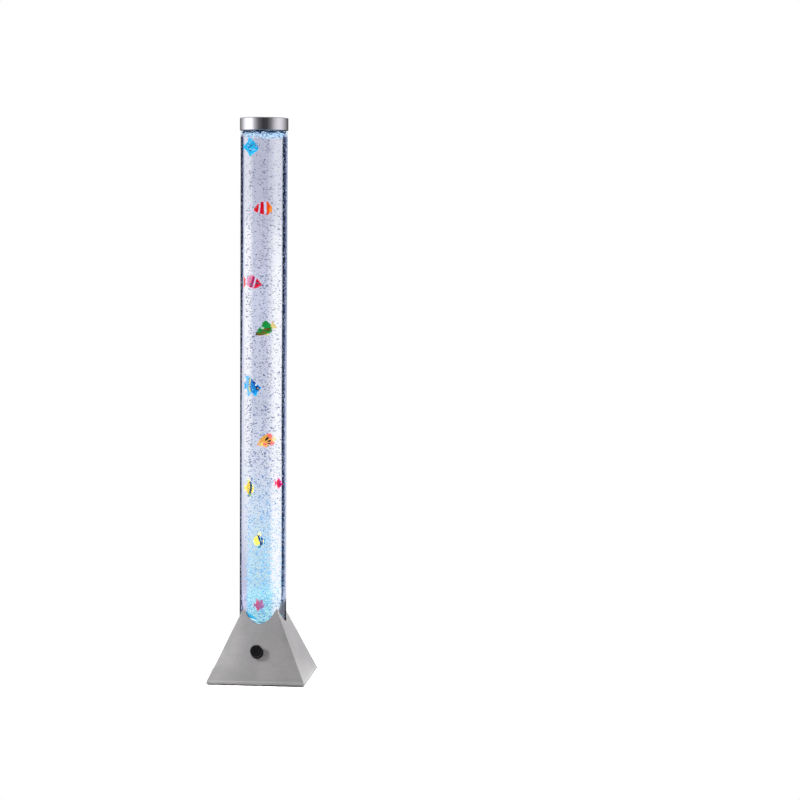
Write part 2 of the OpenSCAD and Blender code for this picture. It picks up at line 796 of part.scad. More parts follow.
// Colour lamps: a square case with a round window each
module colour_lamps() {
    color("ivory") around(led_count, led_ring_r) translate([0, 0, led_board_top]) difference() {
        translate([-led_side / 2, -led_side / 2, 0]) cube([led_side, led_side, led_h]);
        translate([0, 0, led_h - 0.4]) cylinder(h = 1, r = led_side / 2 - 0.6, $fn = 32);
    }
}

module light_board_screws() {
    color("gainsboro") around(3, lug_r, 45) translate([0, 0, led_board_top - board_t])
        screw(lug_screw_r, board_t + lug_screw_l, 2.6, 1.6);
}

// ---- control board ----

module at_control_board() {
    translate([control_x, control_y, control_z]) children();
}

module control_board() {
    color("seagreen") at_control_board() difference() {
        linear_extrude(board_t) rounded_rect(control_w, control_d, 2);
        at_corners(control_w / 2 - 4, control_d / 2 - 4)
            translate([0, 0, -1]) cylinder(h = board_t + 2, r = 1.6);
    }
}

module board_standoffs() {
    color("silver") translate([control_x, control_y, plate_top])
        at_corners(control_w / 2 - 4, control_d / 2 - 4) difference() {
            union() {
                cylinder(h = standoff_h, r = 3, $fn = 6);
                translate([0, 0, -plate_t]) cylinder(h = plate_t + 1, r = plate_screw_r);
            }
            translate([0, 0, 2]) cylinder(h = standoff_h, r = 1.25 + fit);
        }
}

module board_screws() {
    color("gainsboro") at_control_board() at_corners(control_w / 2 - 4, control_d / 2 - 4)
        translate([0, 0, board_t]) mirror([0, 0, 1]) screw(1.25, board_t + 5, 2.5, 1.6);
}

// Capacitors, relay, controller chip and the terminals along the right edge
module board_components() {
    color("darkslategray") at_control_board() translate([0, 0, board_t]) {
        for (x = [-16, -3]) translate([x, 8, 0]) cylinder(h = 15, r = 5);
        translate([-20, -14, 0]) cube([18, 12, 14]);
        translate([3, -12, 0]) cube([6, 10, 1.8]);
        translate([control_w / 2 - 8, -10, 0]) difference() {
            cube([8, 20, 9]);
            for (y = [2.5:5:17.5]) translate([3.5, y, 3]) cylinder(h = 7, r = 1.6);
        }
    }
}

// ---- transformer ----

module at_transformer() {
    translate([trafo_x, trafo_y, plate_top]) children();
}

// Stack of E and I sheets with two windows
module transformer_core() {
    window_w = (stack_w - 4 * yoke) / 2;
    color("gray") at_transformer() rotate([90, 0, 0]) linear_extrude(stack_d, center = true) difference() {
        translate([-stack_w / 2, 0]) square([stack_w, stack_h]);
        for (x = [-yoke - window_w, yoke]) translate([x, yoke]) square([window_w, stack_h - 2 * yoke]);
    }
}

// Bobbin with two flanges and the winding between them
module transformer_coil() {
    window_w = (stack_w - 4 * yoke) / 2;
    wide = 2 * yoke + 2 * window_w - 2 * slack;
    tall = stack_h - 2 * yoke - 2 * slack;
    flange = 1.4;
    color("peru") at_transformer() translate([0, 0, yoke + slack]) difference() {
        union() {
            for (z = [0, tall - flange])
                translate([-wide / 2, -coil_d / 2, z]) cube([wide, coil_d, flange]);
            linear_extrude(tall) rounded_rect(wide - 1.6, coil_d - 3, 3);
        }
        translate([-yoke - slack, -stack_d / 2 - slack, -1])
            cube([2 * (yoke + slack), stack_d + 2 * slack, tall + 2]);
    }
}

// Steel strap over the stack with two feet on the plate
module transformer_strap() {
    in_w = stack_w + 2 * fit;
    foot_x = stack_w / 2 + strap_t + strap_foot / 2;
    color("lightgray") at_transformer() difference() {
        rotate([90, 0, 0]) linear_extrude(strap_w, center = true) {
            translate([-in_w / 2 - strap_t, stack_h]) square([in_w + 2 * strap_t, strap_t]);
            for (i = [-1, 1]) {
                translate([i * (in_w + strap_t) / 2 - strap_t / 2, 0]) square([strap_t, stack_h + strap_t]);
                translate([i * foot_x - strap_foot / 2, 0]) square([strap_foot, strap_t]);
            }
        }
        for (i = [-1, 1]) translate([i * foot_x, 0, -1]) cylinder(h = strap_t + 2, r = plate_screw_r + fit);
    }
}

module transformer_screws() {
    foot_x = stack_w / 2 + strap_t + strap_foot / 2;
    color("gainsboro") at_transformer() for (i = [-1, 1]) translate([i * foot_x, 0, strap_t])
        mirror([0, 0, 1]) screw(plate_screw_r, strap_t + plate_t - 0.2, 2.8, 1.8);
}

// ---- wiring ----

terminal_w = 20;
terminal_d = 12;
terminal_h = 12;
terminal_x0 = -8;
terminal_gap = 20;
terminal_y = inner_at(plate_top + terminal_h) - terminal_gap - terminal_d / 2;

// Three-pole terminal for the mains cord
module mains_terminal() {
    pitch = 6;
    color("ivory") translate([terminal_x0, terminal_y - terminal_d / 2, plate_top]) difference() {
        cube([terminal_w, terminal_d, terminal_h]);
        for (i = [-1:1]) translate([terminal_w / 2 + i * pitch, 0, 0]) {
            translate([0, terminal_d / 2, 5]) cylinder(h = terminal_h, r = 2);
            translate([0, -1, 4]) rotate([-90, 0, 0]) cylinder(h = terminal_d + 2, r = 1.5);
        }
    }
}

lead_r = 1.1;
lead_sides = 8;
lead_rings = 14;

function bezier(p, t) = pow(1 - t, 3) * p[0] + 3 * t * pow(1 - t, 2) * p[1]
    + 3 * t * t * (1 - t) * p[2] + pow(t, 3) * p[3];
function bezier_way(p, t) = 3 * pow(1 - t, 2) * (p[1] - p[0]) + 6 * t * (1 - t) * (p[2] - p[1])
    + 3 * t * t * (p[3] - p[2]);
function unit(v) = v / norm(v);

// Round lead along a cubic curve through four guide points
module lead(p, r = lead_r) {
    across = unit(cross(p[3] - p[0], p[1] - p[0] + [0.1, 0.2, 0.3]));
    rings = [for (i = [0:lead_rings]) let (
        t = i / lead_rings, c = bezier(p, t), way = unit(bezier_way(p, t)),
        u = unit(across - (across * way) * way), v = cross(way, u)
    ) for (k = [0:lead_sides - 1]) let (a = 360 * k / lead_sides) c + r * (cos(a) * u + sin(a) * v)];
    n = lead_sides;
    sides = [for (i = [0:lead_rings - 1], k = [0:n - 1]) let (a = i * n + k, b = i * n + (k + 1) % n)
        each [[a, b + n, b], [a, a + n, b + n]]];
    ends = [[for (k = [0:n - 1]) k], [for (k = [n - 1:-1:0]) lead_rings * n + k]];
    polyhedron(rings, concat(sides, ends), convexity = 6);
}

// Point given in the front face's frame, see on_front()
function front_point(x, up, out) = [
    x, -face_half(knob_z) + up * sin(lean) - out * cos(lean), knob_z + up * cos(lean) + out * sin(lean)
];

// Leads between the terminal, transformer, boards, pump, lamps and control
module inner_leads() {
    end_gap = 0.5;
    run = 12;
    row_pitch = 5;
    rise = 4;
    board_x = control_x + control_w / 2 + end_gap;
    board_z = control_z + board_t + rise + 1.4;
    rows = [for (i = [0:3]) control_y + 8 - i * row_pitch];
    mains = [terminal_x0 + terminal_w + end_gap, terminal_y, plate_top + rise];
    winding_z = plate_top + stack_h / 2 - 1;
    primary = [trafo_x - 10, trafo_y + coil_d / 2 + end_gap, winding_z];
    secondary = [trafo_x - 4, trafo_y - coil_d / 2 - end_gap, winding_z];
    pump_entry = [outlet_x + 6, pump_y0 - end_gap, pump_mid + 11];
    lamps_entry = [led_ring_r * cos(212), led_ring_r * sin(212), led_board_top - board_t - end_gap];
    tag = front_point(-5, -pot_d / 2 - 4 - end_gap, 1.3 - sheet_t - pot_h);
    color("firebrick") {
        // mains terminal to the transformer's winding
        lead([mains, mains + [run, 0, 0], primary + [0, run - 2, -2], primary]);
        // transformer's winding to the control board
        lead([secondary, secondary - [0, 2 * run, 0], [board_x + 2.5 * run, rows[0], board_z],
            [board_x, rows[0], board_z]]);
        // control board to the pump
        lead([[board_x, rows[2], board_z], [board_x + run, rows[2], board_z + 2 * rise],
            pump_entry + [0, -1.5 * run, rise], pump_entry]);
        // control board to the lamps' board
        lead([[board_x, rows[1], board_z], [board_x + run, rows[1], board_z + rise],
            lamps_entry - [0, 0, 1.5 * run], lamps_entry]);
        // control board to the control behind the knob
        lead([[board_x, rows[3], board_z], [board_x + run - 4, rows[3], board_z + rise],
            tag + [0, run - 3, -2 * run], tag]);
    }
}

// ---- decorative fish ----

// Each fish: lane from the front, place across (-1 left wall, 1 right wall), place up the water
// (0 bottom, 1 surface), side that it faces (1 left, -1 right), tilt, length, height, girth,
// dorsal, anal, tail, notch, colour
FISH = [
    ["fish_cyan", 3, -0.99, 0.997, -1, 8, 34, 44, 0.62, 0.75, 0.55, 0.75, 0.10, "deepskyblue"],
    ["fish_red_stripes", 6, -0.23, 0.862, 1, 0, 40, 29, 0.56, 0.34, 0.30, 0.62, 0.20, "orangered"],
    ["fish_pink_stripes", 4, -0.92, 0.708, -1, 0, 40, 29, 0.56, 0.34, 0.30, 0.62, 0.20, "hotpink"],
    ["fish_green", 2, 0.5, 0.613, 1, -14, 48, 33, 0.52, 0.42, 0.24, 0.52, 0.12, "forestgreen"],
    ["fish_blue", 5, -0.96, 0.490, -1, 0, 38, 44, 0.72, 0.52, 0.48, 0.58, 0.12, "dodgerblue"],
    ["fish_orange", 1, 0.9, 0.378, 1, -10, 41, 31, 0.58, 0.40, 0.34, 0.56, 0.06, "orange"],
    ["fish_yellow_upper", 2, -0.97, 0.277, 1, 0, 22, 43, 0.80, 1.05, 0.60, 0.60, 0.14, "gold"],
    ["fish_magenta", 3, 0.97, 0.288, -1, 0, 18, 31, 0.66, 0.55, 0.45, 0.70, 0.14, "magenta"],
    ["fish_yellow_lower", 7, -0.55, 0.160, 1, 0, 27, 41, 0.80, 0.95, 0.60, 0.58, 0.14, "gold"],
    ["fish_pink", 0, -0.44, 0.033, -1, 0, 25, 31, 0.70, 0.62, 0.55, 0.70, 0.20, "violet"]
];

function fish_row(name) = [for (f = FISH) if (f[0] == name) f][0];
// The most that a fish of this length may stand off the middle in its lane
function lane_reach(lane_y, length) =
    sqrt(pow(swim_r, 2) - pow(abs(lane_y) + fish_t / 2, 2)) - length / 2;

// Body of a fish, 30 long, snout at -X: oval rings that swell and taper
module fish_body(girth) {
    length = 30;
    n = 12;
    stations = [0.01, 0.05, 0.12, 0.22, 0.34, 0.46, 0.58, 0.70, 0.80, 0.89, 0.96, 1];
    rings = [for (t = stations) let (
        swell = pow(sin(180 * pow(t, 0.82)), 0.8),
        h = length * girth / 2 * swell + 1.6 * t + 0.2,
        w = 3.6 * pow(sin(180 * pow(t, 0.7)), 0.6) + 0.55 * t + 0.15
    ) for (k = [0:n - 1]) [length * (t - 0.5), w * cos(360 * k / n), h * sin(360 * k / n)]];
    last = len(stations) - 1;
    sides = [for (i = [0:last - 1], k = [0:n - 1]) let (a = i * n + k, b = i * n + (k + 1) % n)
        each [[a, b + n, b], [a, a + n, b + n]]];
    ends = [[for (k = [0:n - 1]) k], [for (k = [n - 1:-1:0]) last * n + k]];
    polyhedron(rings, concat(sides, ends), convexity = 4);
}

// Fins in the fish's middle plane: dorsal above, anal below, tail behind
module fish_fins(girth, dorsal, anal, tail, notch) {
    back = 15 * girth;
    rotate([90, 0, 0]) linear_extrude(fin_t, center = true) {
        polygon(concat(
            bow([-8, back * 0.55], [-3, back + 22 * dorsal], [9, back + 18 * dorsal], 7),
            bow([7, back * 0.8 + 8 * dorsal], [9, back * 0.5], [12, back * 0.2], 4)
        ));
        polygon(concat(
            bow([-3, -back * 0.6], [1, -back - 20 * anal], [10, -back - 15 * anal], 6),
            bow([8, -back * 0.7 - 6 * anal], [9, -back * 0.5], [12, -back * 0.2], 4)
        ));
        polygon(concat(
            bow([13, 1.5], [18, 4], [25, 15 * tail], 5),
            bow([25.6, 15 * tail - 1], [25 - 30 * notch, 0], [25.6, 1 - 15 * tail], 6),
            bow([25, -15 * tail], [18, -4], [13, -1.5], 5)
        ));
    }
}

// Small side fins that stand off the flanks
module fish_side_fins() {
    for (i = [-1, 1]) translate([-5, i * 2.6, -1]) rotate([i * -18, 0, 0]) rotate([90, 0, 0])
        linear_extrude(0.9, center = true) polygon(bow([0, 1.2], [9, 3], [9, -3.5], 5));
}

module fish_at_rest(name) {
    f = fish_row(name);
    y = lane_0 + f[1] * lane_pitch;
    x = f[2] * lane_reach(y, f[6]);
    z = water_low + f[7] / 2 + f[3] * (water_high - water_low - f[7]);
    color(f[13]) translate([x, y, z]) resize([f[6], fish_t, f[7]]) scale([f[4], 1, 1])
        rotate([0, f[5], 0]) translate([-5.4, 0, (15.5 * f[10] - 18.5 * f[9]) / 2]) union() {
            fish_body(f[8]);
            fish_fins(f[8], f[9], f[10], f[11], f[12]);
            fish_side_fins();
        }
}

// ---- drawing ----

base_shell();
bottom_plate();
rubber_feet();
plate_screws();
tube_socket();
socket_screws();
tube_gasket();
clear_tube();
tube_end_disc();
air_nozzle();
nozzle_seal();
nozzle_nut();
air_stone();
cap_shell();
cap_plug();
cap_seal();
knob();
control_shaft();
control_body();
control_washer();
control_nut();
cord_grommet();
pump_lower_housing();
pump_upper_housing();
pump_screws();
pump_feet();
pump_core();
pump_coil();
pump_arm();
pump_magnet();
pump_pivot_pin();
pump_bellows();
pump_valve_block();
outlet_hose();
check_valve();
check_valve_flap();
riser_hose();
light_board();
colour_lamps();
light_board_screws();
control_board();
board_standoffs();
board_screws();
board_components();
transformer_core();
transformer_coil();
transformer_strap();
transformer_screws();
mains_terminal();
inner_leads();
fish_at_rest("fish_cyan");  // fish_cyan
fish_at_rest("fish_red_stripes");  // fish_red_stripes
fish_at_rest("fish_pink_stripes");  // fish_pink_stripes
fish_at_rest("fish_green");  // fish_green
fish_at_rest("fish_blue");  // fish_blue
fish_at_rest("fish_orange");  // fish_orange
fish_at_rest("fish_yellow_upper");  // fish_yellow_upper
fish_at_rest("fish_magenta");  // fish_magenta
fish_at_rest("fish_yellow_lower");  // fish_yellow_lower
fish_at_rest("fish_pink");  // fish_pink
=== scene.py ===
import math
import random

import bpy
from mathutils import Euler, Matrix, Vector, noise


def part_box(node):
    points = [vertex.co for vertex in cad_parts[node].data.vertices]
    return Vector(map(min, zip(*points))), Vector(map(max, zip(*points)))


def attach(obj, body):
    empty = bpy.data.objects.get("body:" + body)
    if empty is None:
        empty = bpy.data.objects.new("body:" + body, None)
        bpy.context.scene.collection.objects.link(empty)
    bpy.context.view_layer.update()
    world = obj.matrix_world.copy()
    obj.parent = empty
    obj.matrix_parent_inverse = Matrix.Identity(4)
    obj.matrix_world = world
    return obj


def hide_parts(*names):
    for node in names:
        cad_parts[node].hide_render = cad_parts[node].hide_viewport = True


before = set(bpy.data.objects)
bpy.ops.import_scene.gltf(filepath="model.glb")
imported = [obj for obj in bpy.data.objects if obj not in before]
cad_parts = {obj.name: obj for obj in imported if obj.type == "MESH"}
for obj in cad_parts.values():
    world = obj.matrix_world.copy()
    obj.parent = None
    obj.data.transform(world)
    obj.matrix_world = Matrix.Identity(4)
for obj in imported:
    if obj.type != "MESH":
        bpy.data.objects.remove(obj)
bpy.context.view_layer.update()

# ---- sizes in metres, from the CAD frame where it has them -------------------------------------
TUBE_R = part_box("clear_tube")[1].x
TUBE_WALL = 0.003
BORE_R = TUBE_R - TUBE_WALL
DISC_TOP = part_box("tube_end_disc")[1].z
BASE_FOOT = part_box("base_shell")[0].z
HEM_HEIGHT = 0.0055
SHELL_CUT_R = TUBE_R + 0.0004
WATER_R = BORE_R - 0.0002
WATER_LOW = DISC_TOP + 0.0004
WATER_TOP = 1.1675
RIPPLE = 0.0018
WATERLINE = 1.1699
SWIM_HIGH = 1.165
BUBBLES = 4200
BUBBLE_TOP = 1.158
FROTH_BUBBLES = 900
FROTH_LOW, FROTH_HIGH = 1.1590, 1.1700
LANE_GAP = 0.0004

# ---- camera, in metres and degrees -------------------------------------------------------------
CAMERA_AT = (0.74977, -4.80170, 0.94562)
CAMERA_TURN = (85.9437, -0.3985, 5.4507)
CAMERA_LENS = 102.1

# ---- levels and colours ------------------------------------------------------------------------
GLOSS_SHARE = 0.015
# painted light: the fish glow a little in their own colours
TOY_PAINTED_GLOW = 0.68
CEILING = 0.31
SOFT_LIGHT = 0.25
WHITE = (1.0, 1.0, 1.0)
NAVY = (0.006, 0.020, 0.070)
PALE_GAP = (0.62, 0.66, 0.84)


def add_camera():
    data = bpy.data.cameras.new("camera")
    data.lens = CAMERA_LENS
    data.sensor_width = 36.0
    data.clip_end = 60.0
    camera = bpy.data.objects.new("camera", data)
    bpy.context.scene.collection.objects.link(camera)
    turn = Euler([math.radians(angle) for angle in CAMERA_TURN]).to_matrix().to_4x4()
    camera.matrix_world = Matrix.Translation(CAMERA_AT) @ turn
    bpy.context.scene.camera = camera


# ---- shader nodes ------------------------------------------------------------------------------
class Value:
    """One output of a shader node. Arithmetic with it adds the math nodes that do it."""

    def __init__(self, tree, socket):
        self.tree = tree
        self.socket = socket

    def __add__(self, other):
        return maths("ADD", self, other)

    def __sub__(self, other):
        return maths("SUBTRACT", self, other)

    def __rsub__(self, other):
        return maths("SUBTRACT", other, self)

    def __mul__(self, other):
        return maths("MULTIPLY", self, other)

    def __truediv__(self, other):
        return maths("DIVIDE", self, other)

    def __pow__(self, other):
        return maths("POWER", self, other)

    def __abs__(self):
        return maths("ABSOLUTE", self)


def add_node(tree, kind, values=None, **settings):
    """A node with its settings; values holds its inputs by name or number, each a plain value or a Value."""
    made = tree.nodes.new(kind)
    for key, value in settings.items():
        setattr(made, key, value)
    for key, value in (values or {}).items():
        if isinstance(value, Value):
            tree.links.new(value.socket, made.inputs[key])
        else:
            made.inputs[key].default_value = value
    return made


def put(tree, kind, values=None, out=0, **settings):
    """One output of a new node."""
    return Value(tree, add_node(tree, kind, values, **settings).outputs[out])


def tree_of(*values):
    """The node tree of the first Value among these; plain numbers and colours have none."""
    return next(value.tree for value in values if isinstance(value, Value))


def rgba(colour):
    return colour if isinstance(colour, Value) else (colour[0], colour[1], colour[2], 1.0)


def maths(operation, first, second=0.0):
    return put(tree_of(first, second), "ShaderNodeMath", {0: first, 1: second}, operation=operation)


def mix_colour(share, first, second, blend="MIX"):
    values = {0: share, 1: rgba(first), 2: rgba(second)}
    return put(tree_of(share, first, second), "ShaderNodeMixRGB", values, blend_type=blend)


def rescale(value, start, end, low=0.0, high=1.0, kind="LINEAR"):
    values = {0: value, 1: start, 2: end, 3: low, 4: high}
    return put(value.tree, "ShaderNodeMapRange", values, interpolation_type=kind)


def rise(value, start, end):
    """A smooth step from 0 to 1."""
    return rescale(value, start, end, kind="SMOOTHSTEP")


def fall(value, start, end):
    return 1.0 - rise(value, start, end)


def beside(value, middle, inside, outside):
    """1 within one distance of the middle, and 0 beyond the other."""
    return fall(abs(value - middle), inside, outside)


def ramp(value, stops, smooth=True):
    """Colours or plain levels along a value."""
    made = add_node(value.tree, "ShaderNodeValToRGB", {0: value})
    made.color_ramp.interpolation = "EASE" if smooth else "LINEAR"
    elements = made.color_ramp.elements
    while len(elements) < len(stops):
        elements.new(0.5)
    for element, (place, colour) in zip(elements, stops):
        element.position = place
        element.color = rgba((colour,) * 3 if isinstance(colour, float) else colour)
    return Value(value.tree, made.outputs[0])


def shade(value, dark, light, start=0.3, end=0.7):
    return ramp(value, [(start, dark), (end, light)])


def grain(place, scale, detail=3.0, stretch=(1.0, 1.0, 1.0), roughness=0.55):
    placed = put(place.tree, "ShaderNodeMapping", {0: place, 3: stretch})
    values = {"Vector": placed, "Scale": scale, "Detail": detail, "Roughness": roughness}
    return put(place.tree, "ShaderNodeTexNoise", values)


def cells(place, scale):
    return put(place.tree, "ShaderNodeTexVoronoi", {"Vector": place, "Scale": scale})


def bump(height, strength, distance):
    return put(height.tree, "ShaderNodeBump", {"Height": height, "Strength": strength, "Distance": distance})


class Look:
    """A material in the making, with the place on its object as one Value and as x, y and z."""

    def __init__(self, name):
        self.made = bpy.data.materials.new(name)
        self.made.use_nodes = True
        self.tree = self.made.node_tree
        self.tree.nodes.clear()
        self.place = self.put("ShaderNodeTexCoord", out="Object")
        split = add_node(self.tree, "ShaderNodeSeparateXYZ", {0: self.place})
        self.x, self.y, self.z = (Value(self.tree, output) for output in split.outputs)

    def put(self, kind, values=None, out=0):
        return put(self.tree, kind, values, out)

    def facing(self, blend=0.5):
        return self.put("ShaderNodeLayerWeight", {"Blend": blend}, "Facing")

    def far_side(self):
        return self.put("ShaderNodeNewGeometry", out="Backfacing")

    def from_axis(self):
        return maths("SQRT", self.x * self.x + self.y * self.y)

    def solid(self, colour, roughness, metallic=0.0, normal=None, specular=None, glow=0.0, glow_colour=None):
        values = {"Base Color": rgba(colour), "Roughness": roughness, "Metallic": metallic}
        if normal is not None:
            values["Normal"] = normal
        if specular is not None:
            values["Specular IOR Level"] = specular
        if glow:
            values["Emission Color"] = rgba(glow_colour or colour)
            values["Emission Strength"] = glow
        return self.put("ShaderNodeBsdfPrincipled", values)

    def clear(self, tint=WHITE):
        return self.put("ShaderNodeBsdfTransparent", {0: rgba(tint)})

    def blend(self, share, first, second):
        return self.put("ShaderNodeMixShader", {0: share, 1: first, 2: second})

    def finish(self, shader):
        add_node(self.tree, "ShaderNodeOutputMaterial", {0: shader})
        return self.made

    def coat(self, *colour_and_more, **more):
        """Finishes the material as one solid coat."""
        return self.finish(self.solid(*colour_and_more, **more))


# ---- materials ---------------------------------------------------------------------------------
def grained(name, colour, roughness, metallic=0.0, scale=260.0, spread=0.10, height=0.15, stretch=(1, 1, 1)):
    """A plain material with fine grain in its colour, its roughness and its surface."""
    look = Look(name)
    fine = grain(look.place, scale, 4.0, stretch)
    both = (fine + grain(look.place, scale / 9.0, 2.0, stretch)) * 0.5
    dark = tuple(c * (1.0 - spread) for c in colour)
    light = tuple(min(1.0, c * (1.0 + spread)) for c in colour)
    tone = shade(both, dark, light, 0.36, 0.64)
    rough = rescale(both, 0.3, 0.7, roughness * 0.85, roughness * 1.15)
    return look.coat(tone, rough, metallic, bump(fine, height, 0.0002))


def base_steel():
    """Satin sheet steel, brushed along the faces, with a painted highlight along the folded corners and along
    a hem above the edge, a painted shade line beside the folds, and painted shade darker towards the bottom.
    """
    look = Look("brushed base steel")
    brushing = grain(look.place, 60.0, 6.0, (1.0, 1.0, 26.0), 0.7)
    mottle = grain(look.place, 420.0, 3.0, (1.0, 1.0, 1.6), 0.6)
    cloud = grain(look.place, 14.0, 2.0)
    tone = shade(brushing, (0.212, 0.205, 0.214), (0.272, 0.264, 0.273))
    tone = mix_colour(0.35, tone, shade(mottle, (0.158, 0.152, 0.158), (0.338, 0.328, 0.328)))
    tone = mix_colour(0.25, tone, shade(cloud, (0.180, 0.178, 0.182), (0.310, 0.305, 0.300), 0.35, 0.65))
    from_fold = abs(look.x) - abs(look.y)
    hem = beside(look.z, BASE_FOOT + HEM_HEIGHT, 0.0004, 0.0015)
    # painted highlight: a bright line along each folded corner, and a fainter one along the hem
    bright = maths("MAXIMUM", beside(from_fold, 0.0, 0.0005, 0.0014), hem * 0.45)
    # painted shade: a dark line beside each folded corner
    painted_fold_shade = beside(from_fold, 0.0026, 0.0006, 0.0016)
    tone = mix_colour(bright * 0.50, tone, (0.56, 0.55, 0.54))
    tone = mix_colour(painted_fold_shade * 0.55, tone, (0.09, 0.088, 0.09))
    # painted shade: the steel's colour is darker towards the bottom
    tone = mix_colour(1.0, tone, ramp(look.z * 6.0, [(0.05, 0.93), (0.92, 1.0)]), "MULTIPLY")
    cut_edge = fall(look.from_axis(), SHELL_CUT_R + 0.0002, SHELL_CUT_R + 0.0005)
    tone = mix_colour(cut_edge * 0.6, tone, (0.12, 0.12, 0.125))
    rough = rescale(mottle, 0.3, 0.7, 0.40, 0.52)
    return look.coat(tone, rough, 0.55, bump(brushing, 0.12, 0.0003))


def cap_chrome():
    look = Look("polished cap")
    haze = grain(look.place, 30.0)
    lathe_marks = grain(look.place, 50.0, 3.0, (1.0, 1.0, 30.0))
    # painted reflection tint: the lavender in the chrome's colour stands in for the tint of what it reflects
    tone = shade(haze, (0.74, 0.72, 0.78), (0.80, 0.78, 0.84), 0.35, 0.65)
    rough = rescale(haze, 0.3, 0.7, 0.10, 0.14)
    return look.coat(tone, rough, 1.0, bump(lathe_marks, 0.04, 0.0002))


def tube_sides(look, facing, right_side):
    """The dark blue strips that bent light leaves along both sides of the tube, wider near its foot."""
    z = look.z
    wander = (grain(look.place, 26.0, 2.0, (1.0, 1.0, 0.6)) - 0.5) * 0.05
    foot = fall(z, 0.150, 0.205) * (0.14 - right_side * 0.12)
    high_up = rise(z, 0.50, 0.95) * right_side
    low_down = fall(z, 0.34, 0.60) * right_side
    bent = facing + wander + foot - (high_up + low_down) * 0.035
    left_stops = [(0.59, WHITE), (0.65, (0.26, 0.32, 0.50)), (0.71, NAVY), (0.97, NAVY)]
    left = ramp(bent + rise(z, 0.55, 0.95) * 0.10, left_stops + [(1.0, (0.10, 0.12, 0.22))])
    right_stops = [(0.345, WHITE), (0.385, (0.14, 0.18, 0.30)), (0.42, NAVY), (0.48, (0.05, 0.10, 0.20))]
    right_stops += [(0.55, (0.34, 0.41, 0.55)), (0.66, (0.66, 0.69, 0.82)), (0.90, (0.88, 0.88, 0.92))]
    right = ramp(bent, right_stops + [(1.0, (0.66, 0.67, 0.72))])
    deeper = high_up * rise(facing, 0.33, 0.40) * 0.6
    return mix_colour(right_side, left, mix_colour(deeper, right, (0.30, 0.38, 0.52), "MULTIPLY"))


def tube_plastic():
    """Clear acrylic filled with water: clear in the middle, with the painted dark blue shade of bent light at
    its sides, and glossy outside.
    """
    look = Look("clear acrylic tube")
    x, z = look.x, look.z
    facing = look.facing()
    right_side = rise(x, -0.006, 0.006)
    outer = rise(look.from_axis(), TUBE_R - 0.0012, TUBE_R - 0.0008)
    flecks = rise(grain(look.place, 200.0, 3.0, (1.0, 1.0, 1.1), 0.62), 0.51, 0.56)
    edge = mix_colour(flecks * 0.75, tube_sides(look, facing, right_side), (0.92, 0.94, 1.0))
    # painted shade: a dark grey wedge on the right near the foot, where the shaded inside of the base shows
    # through
    grey = ramp(z, [(0.138, (0.17, 0.17, 0.18)), (0.150, (0.28, 0.27, 0.28)), (0.166, (0.52, 0.50, 0.51))])
    grey = mix_colour(rise(facing, 0.30, 0.46), grey, (0.20, 0.20, 0.22))
    shifted = facing - rise(z, 0.140, 0.165) * 0.09
    painted_shade_wedge = fall(z, 0.158, 0.176) * right_side * rise(shifted, 0.20, 0.27)
    edge = mix_colour(painted_shade_wedge, edge, grey)
    # painted glint: a small cyan spot near the right arch
    edge = mix_colour(patch(x, z, 0.0405, 0.1368, 0.005, 0.0022), edge, (0.15, 0.72, 0.88))
    edge = mix_colour(rise(z, 1.157, 1.166) * 0.9, edge, (0.86, 0.93, 0.98))
    gloss = look.put("ShaderNodeBsdfGlossy", {"Color": rgba(WHITE), "Roughness": 0.10})
    gloss_share = (facing ** 5.0 * 0.12 + GLOSS_SHARE) * (1.0 - look.far_side()) * outer
    return look.finish(look.blend(gloss_share, look.clear(mix_colour(outer, WHITE, edge)), gloss))


def water_column_colour(look, facing, fine, cloud, low, left_rim):
    """The light that comes through the water: its colour by height, cyan towards the foot where the lamps'
    light is painted in, and a white band on either side, a painted reflection of the softboxes.
    """
    z = look.z
    # painted lamp light: the water's colour turns cyan towards the foot, over the lamps
    stops = [(0.09, (0.40, 0.68, 0.80)), (0.13, (0.46, 0.72, 0.82)), (0.18, (0.58, 0.79, 0.85))]
    stops += [(0.25, (0.66, 0.80, 0.88)), (0.31, (0.71, 0.79, 0.89)), (0.385, (0.70, 0.73, 0.84))]
    stops += [(0.485, (0.61, 0.64, 0.75)), (0.575, (0.62, 0.635, 0.76)), (0.665, (0.645, 0.665, 0.80))]
    stops += [(0.775, (0.59, 0.595, 0.715)), (0.89, (0.51, 0.52, 0.632))]
    deep = ramp((z + cloud * 0.16 + look.x * 0.7) / 1.2, stops)
    deep = mix_colour(rise(fine, 0.53, 0.62) * low * 0.55, deep, (0.16, 0.44, 0.74))
    # painted highlight: pale dashes low in the water
    deep = mix_colour(fall(fine, 0.36, 0.43) * low * 0.6, deep, (0.80, 0.96, 0.98))
    lavender = ramp(z, [(0.11, (0.51, 0.51, 0.66)), (0.22, (0.55, 0.56, 0.71)), (0.36, (0.66, 0.69, 0.82))])
    deep = mix_colour(left_rim * low, deep, lavender)
    # painted reflection: a white band on either side of the water, standing in for the softboxes seen in the
    # tube
    left = ramp(facing, [(0.10, 0.0), (0.20, 0.70), (0.25, 1.0), (0.49, 1.0), (0.56, 0.35)])
    left *= ramp(z, [(0.20, 0.05), (0.36, 0.45), (0.60, 0.85), (0.72, 1.0), (0.95, 1.0), (1.0, 0.55)])
    inner = facing + (maths("MINIMUM", facing, 0.12) - 0.085) * low * 1.2
    right = ramp(inner, [(0.0, 0.0), (0.04, 0.40), (0.11, 0.85), (0.17, 1.0), (0.42, 1.0), (0.50, 0.50)])
    right *= ramp(z, [(0.16, 0.95), (0.30, 1.0), (0.86, 1.0), (0.94, 0.80), (1.0, 0.45)])
    return mix_colour(mix_colour(rise(look.x, -0.003, 0.003), left, right), deep, (0.99, 0.985, 1.0))


